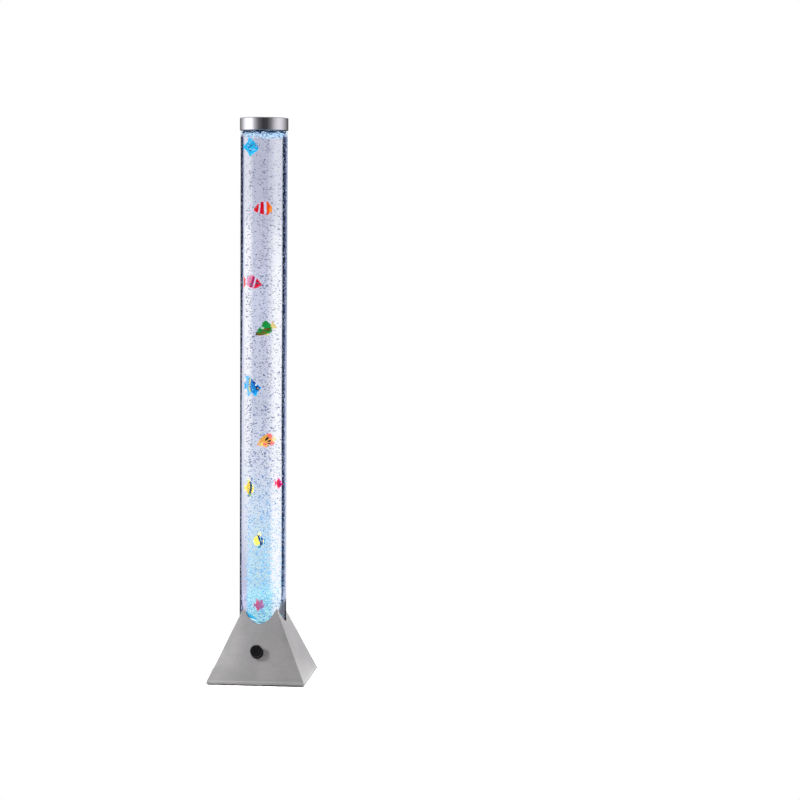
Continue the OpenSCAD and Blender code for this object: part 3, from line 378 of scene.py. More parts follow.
def water_foot_cloud(look, fine, left_rim):
    """The churning cloud over the lamps, lavender at its left and pale at its right."""
    swirl = [(0.36, (0.17, 0.50, 0.62)), (0.44, (0.30, 0.66, 0.73)), (0.53, (0.46, 0.77, 0.80))]
    cloudy = ramp(fine, swirl + [(0.64, (0.72, 0.89, 0.89))])
    cloudy = mix_colour(left_rim * 0.95, cloudy, (0.47, 0.44, 0.54))
    return mix_colour(rise(look.x, 0.006, 0.023) * 0.85, cloudy, (0.90, 0.86, 0.89))


def water_foot_marks(look, fine):
    """The blue wave of painted lamp light, its white streak of painted highlight and the dark dashes on the
    near wall: their colour and their share.
    """
    # painted lamp light: the blue wave; painted highlight: the white streak under it
    wave = slash(look.x, look.z, -0.0215, 0.1378, 0.0180, 0.0052, -27)
    streak = slash(look.x, look.z, -0.0165, 0.1322, 0.0105, 0.0014, -12)
    dashes = patch(look.x, look.z, -0.006, 0.1262, 0.019, 0.0019) * rise(fine, 0.42, 0.50)
    tone = mix_colour(streak, mix_colour(dashes, (0.004, 0.34, 0.60), (0.07, 0.13, 0.20)), (0.75, 0.90, 0.93))
    return tone, maths("MAXIMUM", wave, maths("MAXIMUM", streak, dashes)) * 0.92


def water_look():
    """Lavender water that turns to cyan over the lamps, with a bright churning cloud at its foot; its cloudy
    part has a painted glow that stands in for the lamps' light.
    """
    look = Look("lit water")
    facing, far_side = look.facing(), look.far_side()
    cloud = grain(look.place, 16.0, 4.0, (1.0, 1.0, 0.6)) - 0.5
    fine = grain(look.place, 330.0, 2.0, (1.0, 1.0, 1.9))
    low = fall(look.z, 0.36, 0.47)
    left_rim = rise(facing, 0.24, 0.40) * fall(look.x, -0.003, 0.003)
    deep = water_column_colour(look, facing, fine, cloud, low, left_rim)
    cloudy = water_foot_cloud(look, fine, left_rim)
    near, marks = water_foot_marks(look, fine)
    milk = rescale(far_side, 0.0, 1.0, marks, fall(look.z + cloud * 0.04, 0.166, 0.200) * 0.96)
    # painted light: the cloudy part of the water glows in these colours, standing in for the lamps' light in
    # the bubbles
    glow = mix_colour(far_side, mix_colour(1.0, near, (0.55, 0.55, 0.55), "MULTIPLY"), cloudy)
    tone = mix_colour(1.0, mix_colour(far_side, near, cloudy), (0.35, 0.35, 0.35), "MULTIPLY")
    solid = look.solid(tone, 0.6, specular=0.1, glow=0.85, glow_colour=glow)
    clear = look.clear(mix_colour(far_side, (0.97, 0.98, 1.0), deep))
    return look.finish(look.blend(milk, clear, solid))


def bubble_look(name, rim, clear_share, dark_share, glow):
    """Air in water: clear in the middle with a tinted rim, where dark a painted shade of bent light, bluer
    near the foot where the lamps' light is painted in, and with a painted glow.
    """
    look = Look(name)
    tone = mix_colour(rise(look.z, 0.24, 0.52), (0.12, 0.38, 0.62), rim)
    tone = mix_colour(grain(look.place, 90.0, 2.0) * 0.25, tone, (0.45, 0.52, 0.66))
    stops = [(0.0, clear_share), (0.22, clear_share), (0.55, dark_share), (1.0, dark_share)]
    solid = look.solid(tone, 0.12, glow=glow)
    return look.finish(look.blend(ramp(look.facing(), stops), look.clear((0.93, 0.95, 1.0)), solid))


def waterline_look():
    look = Look("waterline")
    # painted shade: the meniscus under the cap is coloured dark navy
    tone = shade(grain(look.place, 120.0), (0.003, 0.010, 0.045), (0.015, 0.05, 0.14), 0.35, 0.65)
    return look.coat(tone, 0.15)


def lamp_board():
    look = Look("green circuit board")
    values = {"Vector": look.place, "Scale": 210.0, "Randomness": 0.25}
    tracks = fall(put(look.tree, "ShaderNodeTexVoronoi", values, feature="DISTANCE_TO_EDGE"), 0.03, 0.09)
    tone = shade(grain(look.place, 160.0), (0.012, 0.14, 0.06), (0.02, 0.20, 0.09))
    tone = mix_colour(tracks, tone, (0.05, 0.34, 0.16))
    return look.coat(tone, 0.35, normal=bump(tracks, 0.3, 0.0001))


def lamp_lens():
    """Pale lamp cases that glow blue and cyan in turn round the ring."""
    look = Look("colour lamp cases")
    third = maths("FRACT", (maths("ARCTAN2", look.y, look.x) + math.pi) * (1.5 / math.pi))
    hue = ramp(third, [(0.0, (0.1, 0.5, 1.0)), (0.34, (0.1, 0.9, 0.9)), (0.67, (0.3, 0.4, 1.0))], False)
    tone = shade(grain(look.place, 300.0), (0.74, 0.74, 0.70), (0.86, 0.86, 0.82))
    return look.coat(tone, 0.25, glow=0.7, glow_colour=hue)


def winding(name, colour, axis_stretch):
    """Enamelled wire laid in even turns."""
    look = Look(name)
    placed = look.put("ShaderNodeMapping", {0: look.place, 3: axis_stretch})
    values = {"Vector": placed, "Scale": 1.0, "Distortion": 0.4, "Detail": 1.0}
    turns = put(look.tree, "ShaderNodeTexWave", values, 1, bands_direction="DIAGONAL")
    # painted shade: the wire's colour is darker between the turns
    tone = shade(turns, tuple(c * 0.45 for c in colour), colour, 0.1, 0.6)
    return look.coat(tone, 0.32, 0.7, bump(turns, 0.6, 0.0003))


def stone_look():
    look = Look("porous stone")
    pores = cells(look.place, 900.0)
    sand = shade(grain(look.place, 700.0), (0.35, 0.42, 0.50), (0.75, 0.82, 0.9))
    tone = mix_colour(0.3, shade(pores, (0.22, 0.28, 0.36), (0.55, 0.63, 0.72), 0.1, 0.5), sand)
    return look.coat(tone, 0.9, normal=bump(pores, 0.8, 0.0005))


def knob_look():
    look = Look("black knob")
    skin = grain(look.place, 900.0)
    tone = shade(skin, (0.0016, 0.0016, 0.0018), (0.0045, 0.0045, 0.005))
    return look.coat(tone, 0.42, normal=bump(skin, 0.25, 0.0001), specular=0.07)


def hose_look():
    look = Look("clear hose")
    tone = shade(grain(look.place, 120.0), (0.60, 0.68, 0.68), (0.78, 0.84, 0.84))
    share = ramp(look.facing(0.4), [(0.0, 0.35), (0.6, 0.6), (1.0, 0.95)])
    return look.finish(look.blend(share, look.clear((0.93, 0.96, 0.96)), look.solid(tone, 0.3)))


def end_disc_look():
    look = Look("clear end disc")
    tint = shade(grain(look.place, 60.0), (0.62, 0.82, 0.90), (0.75, 0.90, 0.96))
    return look.finish(look.blend(0.35, look.clear(tint), look.solid((0.35, 0.62, 0.78), 0.15)))


def floor_look():
    """White that keeps its shadow near the lamp and fades into the white beyond."""
    look = Look("white floor")
    tone = shade(grain(look.place, 40.0), (0.93, 0.93, 0.93), (0.95, 0.95, 0.95))
    paper = look.put("ShaderNodeBsdfDiffuse", {0: tone})
    return look.finish(look.blend(rise(look.from_axis(), 0.24, 0.62), paper, look.clear()))


def dress_nodes():
    """Each CAD node gets its material."""
    zinc = grained("zinc plated screws", (0.66, 0.66, 0.64), 0.30, 0.95, 500.0, 0.12)
    rubber = grained("black rubber", (0.018, 0.018, 0.020), 0.75, 0.0, 600.0, 0.35, 0.3)
    nylon = grained("white nylon", (0.80, 0.80, 0.77), 0.42, 0.0, 300.0, 0.05)
    white = grained("white moulding", (0.76, 0.76, 0.75), 0.40, 0.0, 260.0, 0.05)
    grey = grained("grey rubber", (0.09, 0.09, 0.095), 0.70, 0.0, 500.0, 0.25, 0.3)
    case = grained("pump case", (0.035, 0.040, 0.048), 0.48, 0.0, 420.0, 0.25, 0.35)
    iron = grained("core steel", (0.20, 0.20, 0.21), 0.42, 0.9, 60.0, 0.30, 0.4, (1, 1, 24))
    nickel = grained("nickel plate", (0.68, 0.67, 0.64), 0.20, 1.0, 400.0, 0.08)
    board = lamp_board()
    clear_hose = hose_look()
    looks = {
        "base_shell": base_steel(),
        "bottom_plate": grained("painted plate", (0.035, 0.035, 0.038), 0.60, 0.0, 380.0, 0.20, 0.3),
        "cap_shell": cap_chrome(),
        "clear_tube": tube_plastic(),
        "tube_end_disc": end_disc_look(),
        "air_stone": stone_look(),
        "knob": knob_look(),
        "control_body": grained("control case", (0.30, 0.32, 0.35), 0.35, 0.9, 350.0, 0.12),
        "pump_coil": winding("pump winding", (0.62, 0.25, 0.09), (700.0, 700.0, 0.0)),
        "transformer_coil": winding("transformer winding", (0.60, 0.23, 0.07), (0.0, 0.0, 1500.0)),
        "pump_magnet": grained("ferrite", (0.030, 0.030, 0.034), 0.50, 0.3, 500.0, 0.3),
        "colour_lamps": lamp_lens(),
        "board_components": grained("board parts", (0.020, 0.024, 0.030), 0.38, 0.0, 200.0, 0.5),
        "inner_leads": grained("lead sleeves", (0.34, 0.02, 0.015), 0.45, 0.0, 200.0, 0.2),
    }
    groups = (
        (zinc, "plate_screws socket_screws pump_screws light_board_screws board_screws transformer_screws"),
        (zinc, "board_standoffs transformer_strap"),
        (rubber, "rubber_feet nozzle_seal cord_grommet pump_feet pump_bellows"),
        (grey, "tube_gasket cap_seal check_valve_flap"),
        (white, "tube_socket cap_plug"),
        (nylon, "air_nozzle nozzle_nut check_valve mains_terminal pump_arm pump_valve_block"),
        (nickel, "control_shaft control_washer control_nut pump_pivot_pin"),
        (case, "pump_lower_housing pump_upper_housing"),
        (iron, "pump_core transformer_core"),
        (board, "light_board control_board"),
        (clear_hose, "outlet_hose riser_hose"),
    )
    for look, names in groups:
        for name in names.split():
            looks[name] = look
    for name, look in looks.items():
        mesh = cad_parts[name].data
        mesh.materials.clear()
        mesh.materials.append(look)


# ---- meshes ------------------------------------------------------------------------------------
def add_mesh(name, points, faces, materials, smooth=True, indices=None):
    mesh = bpy.data.meshes.new(name)
    mesh.from_pydata(points, [], faces)
    for look in materials:
        mesh.materials.append(look)
    mesh.polygons.foreach_set("use_smooth", [smooth] * len(faces))
    if indices:
        mesh.polygons.foreach_set("material_index", indices)
    mesh.update()
    made = bpy.data.objects.new(name, mesh)
    bpy.context.scene.collection.objects.link(made)
    return made


def ball(centre, radii, turn, segments, rings):
    """Points and faces of an ellipsoid with these half sizes, turned by a matrix."""
    points = [centre + turn @ Vector((0.0, 0.0, radii[2]))]
    for ring in range(1, rings):
        lean = math.pi * ring / rings
        for step in range(segments):
            angle = 2.0 * math.pi * step / segments
            spot = (radii[0] * math.sin(lean) * math.cos(angle), radii[1] * math.sin(lean) * math.sin(angle))
            points.append(centre + turn @ Vector((spot[0], spot[1], radii[2] * math.cos(lean))))
    points.append(centre + turn @ Vector((0.0, 0.0, -radii[2])))
    last = len(points) - 1
    faces = []
    for step in range(segments):
        after = (step + 1) % segments
        faces.append((0, 1 + step, 1 + after))
        for ring in range(rings - 2):
            here = 1 + ring * segments
            below = here + segments
            faces.append((here + step, below + step, below + after, here + after))
        base = 1 + (rings - 2) * segments
        faces.append((base + step, last, base + after))
    return points, faces


STILL = Matrix.Identity(3)


class Heap:
    """Many small closed forms gathered in one mesh."""

    def __init__(self):
        self.points = []
        self.faces = []
        self.indices = []

    def add(self, points, faces, index=0):
        start = len(self.points)
        self.points.extend(points)
        self.faces.extend(tuple(start + corner for corner in face) for face in faces)
        self.indices.extend([index] * len(faces))


def wave_height(x, y):
    return RIPPLE * noise.noise(Vector((x * 90.0, y * 90.0, 3.7)))


def round_spot(radius, step, around):
    angle = 2.0 * math.pi * step / around
    return radius * math.cos(angle), radius * math.sin(angle)


def ring_faces(here, there, around):
    """Four-sided faces between two rings of points, which start at these numbers."""
    faces = []
    for step in range(around):
        after = (step + 1) % around
        faces.append((here + step, here + after, there + after, there + step))
    return faces


def add_water():
    """The water's side and its rippled top."""
    around, levels, rings = 96, 60, 8
    points = []
    for level in range(levels + 1):
        z = WATER_LOW + (WATER_TOP - WATER_LOW) * level / levels
        for step in range(around):
            x, y = round_spot(WATER_R, step, around)
            points.append((x, y, z + (wave_height(x, y) if level == levels else 0.0)))
    for ring in range(1, rings):
        for step in range(around):
            x, y = round_spot((1.0 - ring / rings) * WATER_R, step, around)
            points.append((x, y, WATER_TOP + wave_height(x, y)))
    points.append((0.0, 0.0, WATER_TOP))
    faces = []
    last_ring = levels + rings - 1
    for ring in range(last_ring):
        faces += ring_faces(ring * around, (ring + 1) * around, around)
    for step in range(around):
        faces.append((last_ring * around + step, last_ring * around + (step + 1) % around, len(points) - 1))
    heap = Heap()
    heap.add(points, faces)
    add_in_water("water_column", heap, [water_look()])


def add_waterline():
    """The dark wavy line where the water meets the tube, under the cap: a ring of painted shade."""
    around, across = 144, 8
    points = []
    for step in range(around):
        angle = 2.0 * math.pi * step / around
        out = Vector((math.cos(angle), math.sin(angle), 0.0))
        lift = 0.0011 * math.sin(7.0 * angle) + 0.0007 * math.sin(17.0 * angle + 1.0)
        thick = 0.0017 + 0.0005 * math.sin(11.0 * angle + 0.6)
        for turn in range(across):
            wide, high = round_spot(1.0, turn, across)
            side = out * (WATER_R - 0.0011 + 0.0008 * wide)
            points.append(side + Vector((0.0, 0.0, WATERLINE + lift + thick * high)))
    faces = []
    for step in range(around):
        here, there = step * across, (step + 1) % around * across
        for turn in range(across):
            after = (turn + 1) % across
            faces.append((here + turn, there + turn, there + after, here + after))
    heap = Heap()
    heap.add(points, faces)
    add_in_water("waterline_ring", heap, [waterline_look()])


def add_in_water(name, heap, looks):
    """A piece of water or air. It stays with the lamp's root body."""
    piece = add_mesh(name, heap.points, heap.faces, looks, True, heap.indices)
    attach(piece, "root")


def fish_lanes():
    """The fishes' boxes seen from above; nothing else stands in them, because each fish swims up and down."""
    lanes = []
    for name in sorted(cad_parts):
        if name.startswith("fish_"):
            low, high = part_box(name)
            lanes.append((low.x, high.x, low.y, high.y))
    return lanes


def in_lane(lanes, x, y, reach):
    for lane in lanes:
        if lane[0] - reach < x < lane[1] + reach and lane[2] - reach < y < lane[3] + reach:
            return True
    return False


def tilt(rng, about_x, about_y):
    """A small random turn about both level axes."""
    return Matrix.Rotation(rng.gauss(0.0, about_x), 3, "X") @ Matrix.Rotation(rng.gauss(0.0, about_y), 3, "Y")


def add_bubbles():
    """Flattened bubbles all the way up, larger and more of them near the foot, fewer at the tube's sides."""
    rng = random.Random(41)
    lanes = fish_lanes()
    heap = Heap()
    low = DISC_TOP + 0.020
    segments, rings = 8, 5
    while len(heap.faces) < BUBBLES * segments * rings:
        height = rng.random()
        if rng.random() > 1.0 - 0.45 * height:
            continue
        wide = rng.uniform(0.0008, 0.0018) * (1.20 - 0.30 * height)
        if rng.random() < 0.06:
            wide *= 1.6
        across = rng.uniform(-1.0, 1.0) * (BORE_R - 0.0012 - wide)
        depth = math.sqrt(max(0.0, (BORE_R - 0.0010 - wide) ** 2 - across ** 2))
        if rng.random() < 0.50 * (across > 0.020) + 0.35 * (across < -0.030):
            continue
        for attempt in range(12):
            along = rng.uniform(-depth, depth)
            if not in_lane(lanes, across, along, wide + LANE_GAP):
                break
        else:
            continue
        flat = wide * rng.uniform(0.36, 0.60)
        turn = tilt(rng, 0.35, 0.4)
        radii = (wide, wide * rng.uniform(0.8, 1.0), flat)
        spot = Vector((across, along, low + (BUBBLE_TOP - low) * height))
        heap.add(*ball(spot, radii, turn, segments, rings))
    # a dark rim of painted shade and a painted glow
    look = bubble_look("rising bubble", (0.045, 0.065, 0.15), 0.30, 0.92, 0.30)
    add_in_water("rising_bubbles", heap, [look])


def add_froth():
    """Pale bubbles crowd against the tube at the top of the water, every fourth one darker."""
    rng = random.Random(7)
    lanes = fish_lanes()
    heap = Heap()
    placed = 0
    while placed < FROTH_BUBBLES:
        angle = rng.uniform(0.0, 2.0 * math.pi)
        wide = rng.uniform(0.0008, 0.0018)
        radius = (BORE_R - 0.0009 - wide) * math.sqrt(rng.uniform(0.45, 1.0))
        z = rng.uniform(FROTH_LOW, FROTH_HIGH)
        x, y = radius * math.cos(angle), radius * math.sin(angle)
        if z - wide < SWIM_HIGH + 0.0003 and in_lane(lanes, x, y, wide + LANE_GAP):
            continue
        flat = wide * rng.uniform(0.5, 0.85)
        heap.add(*ball(Vector((x, y, z)), (wide, wide, flat), tilt(rng, 0.4, 0.4), 10, 6), placed % 4 // 3)
        placed += 1
    # the froth's glow is painted light
    pale = bubble_look("froth", (0.74, 0.90, 0.97), 0.70, 0.90, 0.45)
    dark = bubble_look("froth shade", (0.10, 0.32, 0.56), 0.30, 0.80, 0.1)
    add_in_water("top_froth", heap, [pale, dark])


# ---- fish --------------------------------------------------------------------------------------
def between(line, share):
    """The point at this share of a line of points, smooth through them."""
    last = len(line) - 1
    spot = min(max(share, 0.0), 1.0) * last
    index = min(int(spot), last - 1)
    t = spot - index
    before, here = line[max(index - 1, 0)], line[index]
    after, beyond = line[index + 1], line[min(index + 2, last)]
    result = []
    for a, b, c, d in zip(before, here, after, beyond):
        curve = (2 * a - 5 * b + 4 * c - d) * t * t + (3 * b - a - 3 * c + d) * t ** 3
        result.append(0.5 * (2 * b + (c - a) * t + curve))
    return result


def fish_body(top, bottom, thick):
    """A lofted body: its sections stand between the top and the bottom line."""
    slices, around = 34, 20
    points = []
    for index in range(slices + 1):
        share = 0.004 + 0.992 * index / slices
        head, foot = between(top, share), between(bottom, share)
        full = thick * (math.sin(math.pi * share ** 0.85) ** 0.62)
        for step in range(around):
            angle = 2.0 * math.pi * step / around
            along = (head[0] + foot[0]) / 2 + (head[0] - foot[0]) / 2 * math.sin(angle)
            high = (head[1] + foot[1]) / 2 + (head[1] - foot[1]) / 2 * math.sin(angle)
            side = math.copysign(abs(math.cos(angle)) ** 0.85, math.cos(angle)) * full
            points.append((along, side, high))
    faces = []
    for index in range(slices):
        faces += ring_faces(index * around, (index + 1) * around, around)
    faces.append(tuple(range(around - 1, -1, -1)))
    faces.append(tuple(slices * around + step for step in range(around)))
    return points, faces


def fish_fin(root, tip, rays, thick):
    """A thin fin from its root line to its tip line, ribbed by rays and scalloped between them."""
    columns, rows = rays * 4, 6
    front, back = [], []
    for column in range(columns + 1):
        share = column / columns
        low, high = between(root, share), between(tip, share)
        rib = 0.5 + 0.5 * math.cos(2.0 * math.pi * rays * share)
        for row in range(rows + 1):
            out = row / rows
            reach = out * (1.0 - 0.07 * (1.0 - rib) * out)
            x = low[0] + (high[0] - low[0]) * reach
            z = low[1] + (high[1] - low[1]) * reach
            half = thick * (0.45 + 0.55 * rib) * (1.0 - 0.55 * out)
            front.append((x, -half, z))
            back.append((x, half, z))
    wide = rows + 1
    shift = len(front)
    faces = []
    for column in range(columns):
        for row in range(rows):
            a, b = column * wide + row, (column + 1) * wide + row
            faces.append((a, b, b + 1, a + 1))
            faces.append((shift + a, shift + a + 1, shift + b + 1, shift + b))
    rim = list(range(wide))
    rim += [column * wide + rows for column in range(1, columns + 1)]
    rim += [columns * wide + row for row in range(rows - 1, -1, -1)]
    rim += [column * wide for column in range(columns - 1, 0, -1)]
    for a, b in zip(rim, rim[1:] + rim[:1]):
        faces.append((a, shift + a, shift + b, b))
    return front + back, faces


def band(x, z, middle, half, slope=0.0, bend=0.0, soft=0.05):
    """Share of a stripe that crosses the fish at x = middle + slope z + bend z squared."""
    line = z * slope + middle + z * z * bend
    return beside(x - line, 0.0, half - soft, half + soft)


def patch(x, z, at_x, at_z, wide, high, soft=0.25):
    """Share of an oval spot."""
    across, up = (x - at_x) / wide, (z - at_z) / high
    return fall(maths("SQRT", across * across + up * up), 1.0 - soft, 1.0 + soft)


def slash(x, z, at_x, at_z, long, short, lean):
    """Share of a short stroke that leans by so many degrees from level."""
    right, up = math.cos(math.radians(lean)), math.sin(math.radians(lean))
    dx, dz = x - at_x, z - at_z
    return patch(dx * right + dz * up, dz * right - dx * up, 0.0, 0.0, long, short)


MARK_KINDS = {"band": band, "patch": patch, "slash": slash}


def mark_shares(mark):
    """A mark's places and sizes, from hundredths to shares. A patch's softness and a slash's lean stay."""
    last = len(mark) if mark[0] == "band" else 6
    return [value / 100.0 for value in mark[2:last]] + list(mark[last:])


def toy_with_painted_glow(look, tone, roughness, normal):
    """Soft plastic with a painted glow: it gives back a little of its own colour as light, to make up for the
    light the tube and water take from it.
    """
    return look.coat(tone, roughness, normal=normal, specular=0.08, glow=TOY_PAINTED_GLOW)


def fish_skin(name, half, ground, marks, spots=None):
    """Painted soft plastic: a ground colour shaded up and down, its marks, and scales in relief."""
    look = Look(name)
    x, z = look.x / half[0], look.z / half[1]
    x = x + (grain(look.place, 160.0) - 0.5) * 0.10
    tone = mix_colour(rise(z, -0.9, 0.7), ground[0], ground[1])
    if spots:
        colour, scale, size = spots
        tone = mix_colour(fall(cells(look.place, scale), size, size + 0.12), tone, colour)
    for mark in marks:
        tone = mix_colour(MARK_KINDS[mark[0]](x, z, *mark_shares(mark)), tone, mark[1])
    scales = cells(look.put("ShaderNodeMapping", {0: look.place, 3: (1.0, 0.5, 1.25)}), 520.0)
    tone = mix_colour(rise(scales, 0.35, 0.75) * 0.22, tone, (0.02, 0.02, 0.04), "MULTIPLY")
    return toy_with_painted_glow(look, tone, 0.38, bump(scales, 0.35, 0.0003))


def fin_skin(name, near, far):
    look = Look(name)
    streak = grain(look.place, 900.0, 2.0, (1.0, 1.0, 0.25))
    return toy_with_painted_glow(look, mix_colour(rise(streak, 0.35, 0.65), near, far), 0.42, bump(streak, 0.2, 0.0002))


def eye_look(name, dark, light, roughness):
    look = Look(name)
    return look.coat(shade(grain(look.place, 400.0), dark, light), roughness)


# A fish's materials are its skin, two for its fins, the eye white and the pupil.
FIRST_EYE_LOOK = 3


def scaled(line, half):
    return [(p[0] / 100.0 * half[0], p[1] / 100.0 * half[1]) for p in line]


def add_side_fins(heap, spec, half, thick):
    """A small fin on either side, from its root towards the tail, which stands off a little at its tip."""
    root_x, root_z, reach = (value / 100.0 for value in spec["side_fin"])
    root_x, level = root_x * half[0], root_z * half[1]
    away = root_x - spec["face"] * reach * half[0]
    near = root_x - spec["face"] * reach * half[0] * 0.62
    root = [(root_x, level + 0.0012), (root_x, level - 0.0012)]
    tip = [(near, level + 0.0028), (away, level + 0.0012), (away, level - 0.0014), (near, level - 0.0030)]
    points, faces = fish_fin(root, tip, 5, 0.0003)
    for side in (-1, 1):
        placed = [(x, y + side * (thick * 0.72 + 0.18 * abs(x - root_x)), z) for x, y, z in points]
        heap.add(placed, faces, 1)


def add_eyes(heap, spec, half, thick):
    """An eyeball and its pupil on either side."""
    eye_x, eye_z, reach = spec["eye"]
    spot_x, spot_z = eye_x / 100.0 * half[0], eye_z / 100.0 * half[1]
    pupil = reach * 0.58
    out = thick * 0.72
    for side in (-1, 1):
        spot = Vector((spot_x, side * out, spot_z))
        heap.add(*ball(spot, (reach, 0.0008, reach), STILL, 14, 8), FIRST_EYE_LOOK)
        spot = Vector((spot_x, side * (out + 0.00045), spot_z))
        heap.add(*ball(spot, (pupil, 0.0006, pupil), STILL, 12, 6), FIRST_EYE_LOOK + 1)


def add_mouth(heap, spec, half):
    """Two lips, one over the other."""
    mouth_x, mouth_z = (value / 100.0 for value in spec["mouth"])
    for lift in (-0.00045, 0.00045):
        spot = Vector((mouth_x * half[0], 0.0, mouth_z * half[1] + lift))
        heap.add(*ball(spot, (0.0010, 0.0012, 0.0005), STILL, 10, 6), 0)


def add_fish(name, spec, eyes):
    """A detailed fish in the place and the box of its CAD node."""
    low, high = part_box(name)
    half = ((high.x - low.x) / 2 * 0.995, (high.z - low.z) / 2 * 0.995)
    thick = (high.y - low.y) / 2 * 0.96
    heap = Heap()
    heap.add(*fish_body(scaled(spec["top"], half), scaled(spec["bottom"], half), thick), 0)
    for root, tip, rays, look in spec["fins"]:
        heap.add(*fish_fin(scaled(root, half), scaled(tip, half), rays, 0.00055), look)
    add_side_fins(heap, spec, half, thick)
    add_eyes(heap, spec, half, thick)
    add_mouth(heap, spec, half)
    limits = (half[0], (high.y - low.y) / 2, half[1])
    points = [tuple(max(-limit, min(limit, value)) for value, limit in zip(p, limits)) for p in heap.points]
    looks = [fish_skin(name + " skin", half, spec["ground"], spec["marks"], spec.get("spots"))]
    for number, (near, far) in enumerate(spec["fin_colours"]):
        looks.append(fin_skin("%s fin %d" % (name, number), near, far))
    while len(looks) < FIRST_EYE_LOOK:
        looks.append(looks[1])
    fish = add_mesh(name + "_detail", points, heap.faces, looks + eyes, True, heap.indices)
    fish.location = (low + high) / 2
    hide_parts(name)
    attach(fish, name)


# All lines and marks are in hundredths of the fish's half length and half height, seen from the front.
# A fin is its root line, its tip line, its number of rays and its material. A mark is its kind, its colour
# and its places and sizes, as the function of that kind takes them. Spots are their colour, scale and size.
FISH = {}
FISH["fish_cyan"] = dict(
    slot="fish_cyan", face=1,
    top=[(-78, 4), (-58, 28), (-22, 52), (22, 58), (62, 36), (90, 8), (100, -6)],
    bottom=[(-78, -14), (-58, -38), (-22, -60), (26, -64), (64, -52), (90, -30), (100, -10)],
    fins=[
        ([(-40, 38), (-8, 54), (22, 58)], [(-22, 100), (-10, 82), (20, 68)], 4, 1),
        ([(-42, -46), (-4, -62), (40, -60)], [(-12, -100), (6, -84), (40, -72)], 5, 1),
        ([(-76, 8), (-76, -4), (-76, -18)], [(-100, 34), (-94, -6), (-100, -44)], 6, 1),
    ],
    side_fin=(10, -14, 26), eye=(66, 4, 0.0019), mouth=(98, -8),
    ground=((0.004, 0.54, 0.86), (0.004, 0.46, 0.80)),
    spots=((0.42, 0.66, 0.92), 190.0, 0.24),
    marks=[
        ("patch", (0.006, 0.10, 0.30), -18, -10, 11, 9),
        ("patch", (0.006, 0.08, 0.26), 8, 4, 11, 9),
        ("patch", (0.006, 0.12, 0.34), -4, -40, 10, 8),
        ("patch", (0.02, 0.34, 0.70), 92, -8, 16, 26),
    ],
    fin_colours=[((0.006, 0.50, 0.84), (0.02, 0.62, 0.92))],
)
FISH["fish_red_stripes"] = dict(
    slot="fish_red", face=-1,
    top=[(-100, -14), (-84, 18), (-60, 56), (-30, 84), (6, 97), (40, 96), (62, 84), (80, 40)],
    bottom=[(-100, -22), (-82, -50), (-58, -64), (-24, -78), (12, -86), (46, -92), (66, -82), (80, -46)],
    fins=[
        ([(78, 44), (80, 0), (78, -48)], [(94, 40), (100, -2), (96, -66)], 6, 2),
        ([(-36, 76), (0, 92), (50, 90)], [(-30, 88), (2, 100), (54, 99)], 8, 1),
        ([(-20, -76), (20, -84), (56, -84)], [(-14, -86), (22, -96), (58, -99)], 8, 1),
    ],
    side_fin=(-34, -26, 20), eye=(-70, 8, 0.0016), mouth=(-98, -18),
    ground=((0.76, 0.004, 0.010), (0.80, 0.006, 0.012)),
    marks=[
        ("band", (0.70, 0.003, 0.014), -2, 26, 0, -6, 4),
        ("band", (0.88, 0.085, 0.008), 66, 30, 0, -8, 4),
        ("patch", (0.95, 0.24, 0.01), 84, -30, 18, 44),
        ("band", PALE_GAP, -36, 9, 8, -8, 3),
        ("band", PALE_GAP, 28, 14, -2, -6, 3),
    ],
    fin_colours=[((0.72, 0.01, 0.03), (0.85, 0.05, 0.03)), ((0.92, 0.22, 0.01), (0.95, 0.38, 0.03))],
)
FISH["fish_pink_stripes"] = dict(
    slot="fish_pink_red", face=1,
    top=[(-76, 34), (-50, 66), (-20, 88), (8, 86), (34, 66), (58, 44), (80, 2), (100, -34)],
    bottom=[(-76, -34), (-50, -60), (-20, -72), (8, -78), (34, -90), (62, -72), (84, -54), (100, -44)],
    fins=[
        ([(-74, 38), (-78, 0), (-74, -38)], [(-100, 98), (-94, 0), (-100, -99)], 8, 2),
        ([(-46, 66), (-16, 84), (22, 76)], [(-40, 82), (-14, 99), (24, 88)], 7, 1),
        ([(-42, -62), (-10, -72), (28, -82)], [(-38, -76), (-8, -88), (30, -98)], 7, 1),
    ],
    side_fin=(20, -24, 22), eye=(58, -14, 0.0015), mouth=(98, -40),
    ground=((0.74, 0.006, 0.04), (0.70, 0.006, 0.03)),
    marks=[
        ("band", (0.98, 0.34, 0.50), -44, 42, 20, 0, 8),
        ("band", (0.46, 0.006, 0.09), 4, 20, 22, -6, 14),
        ("band", PALE_GAP, 27, 8, 20, -8, 3),
        ("patch", (0.78, 0.80, 0.90), -70, 0, 14, 80),
        ("patch", (0.04, 0.01, 0.04), 56, -14, 15, 18),
    ],
    fin_colours=[((0.84, 0.20, 0.36), (0.75, 0.05, 0.16)), ((0.86, 0.08, 0.05), (0.90, 0.18, 0.16))],
)
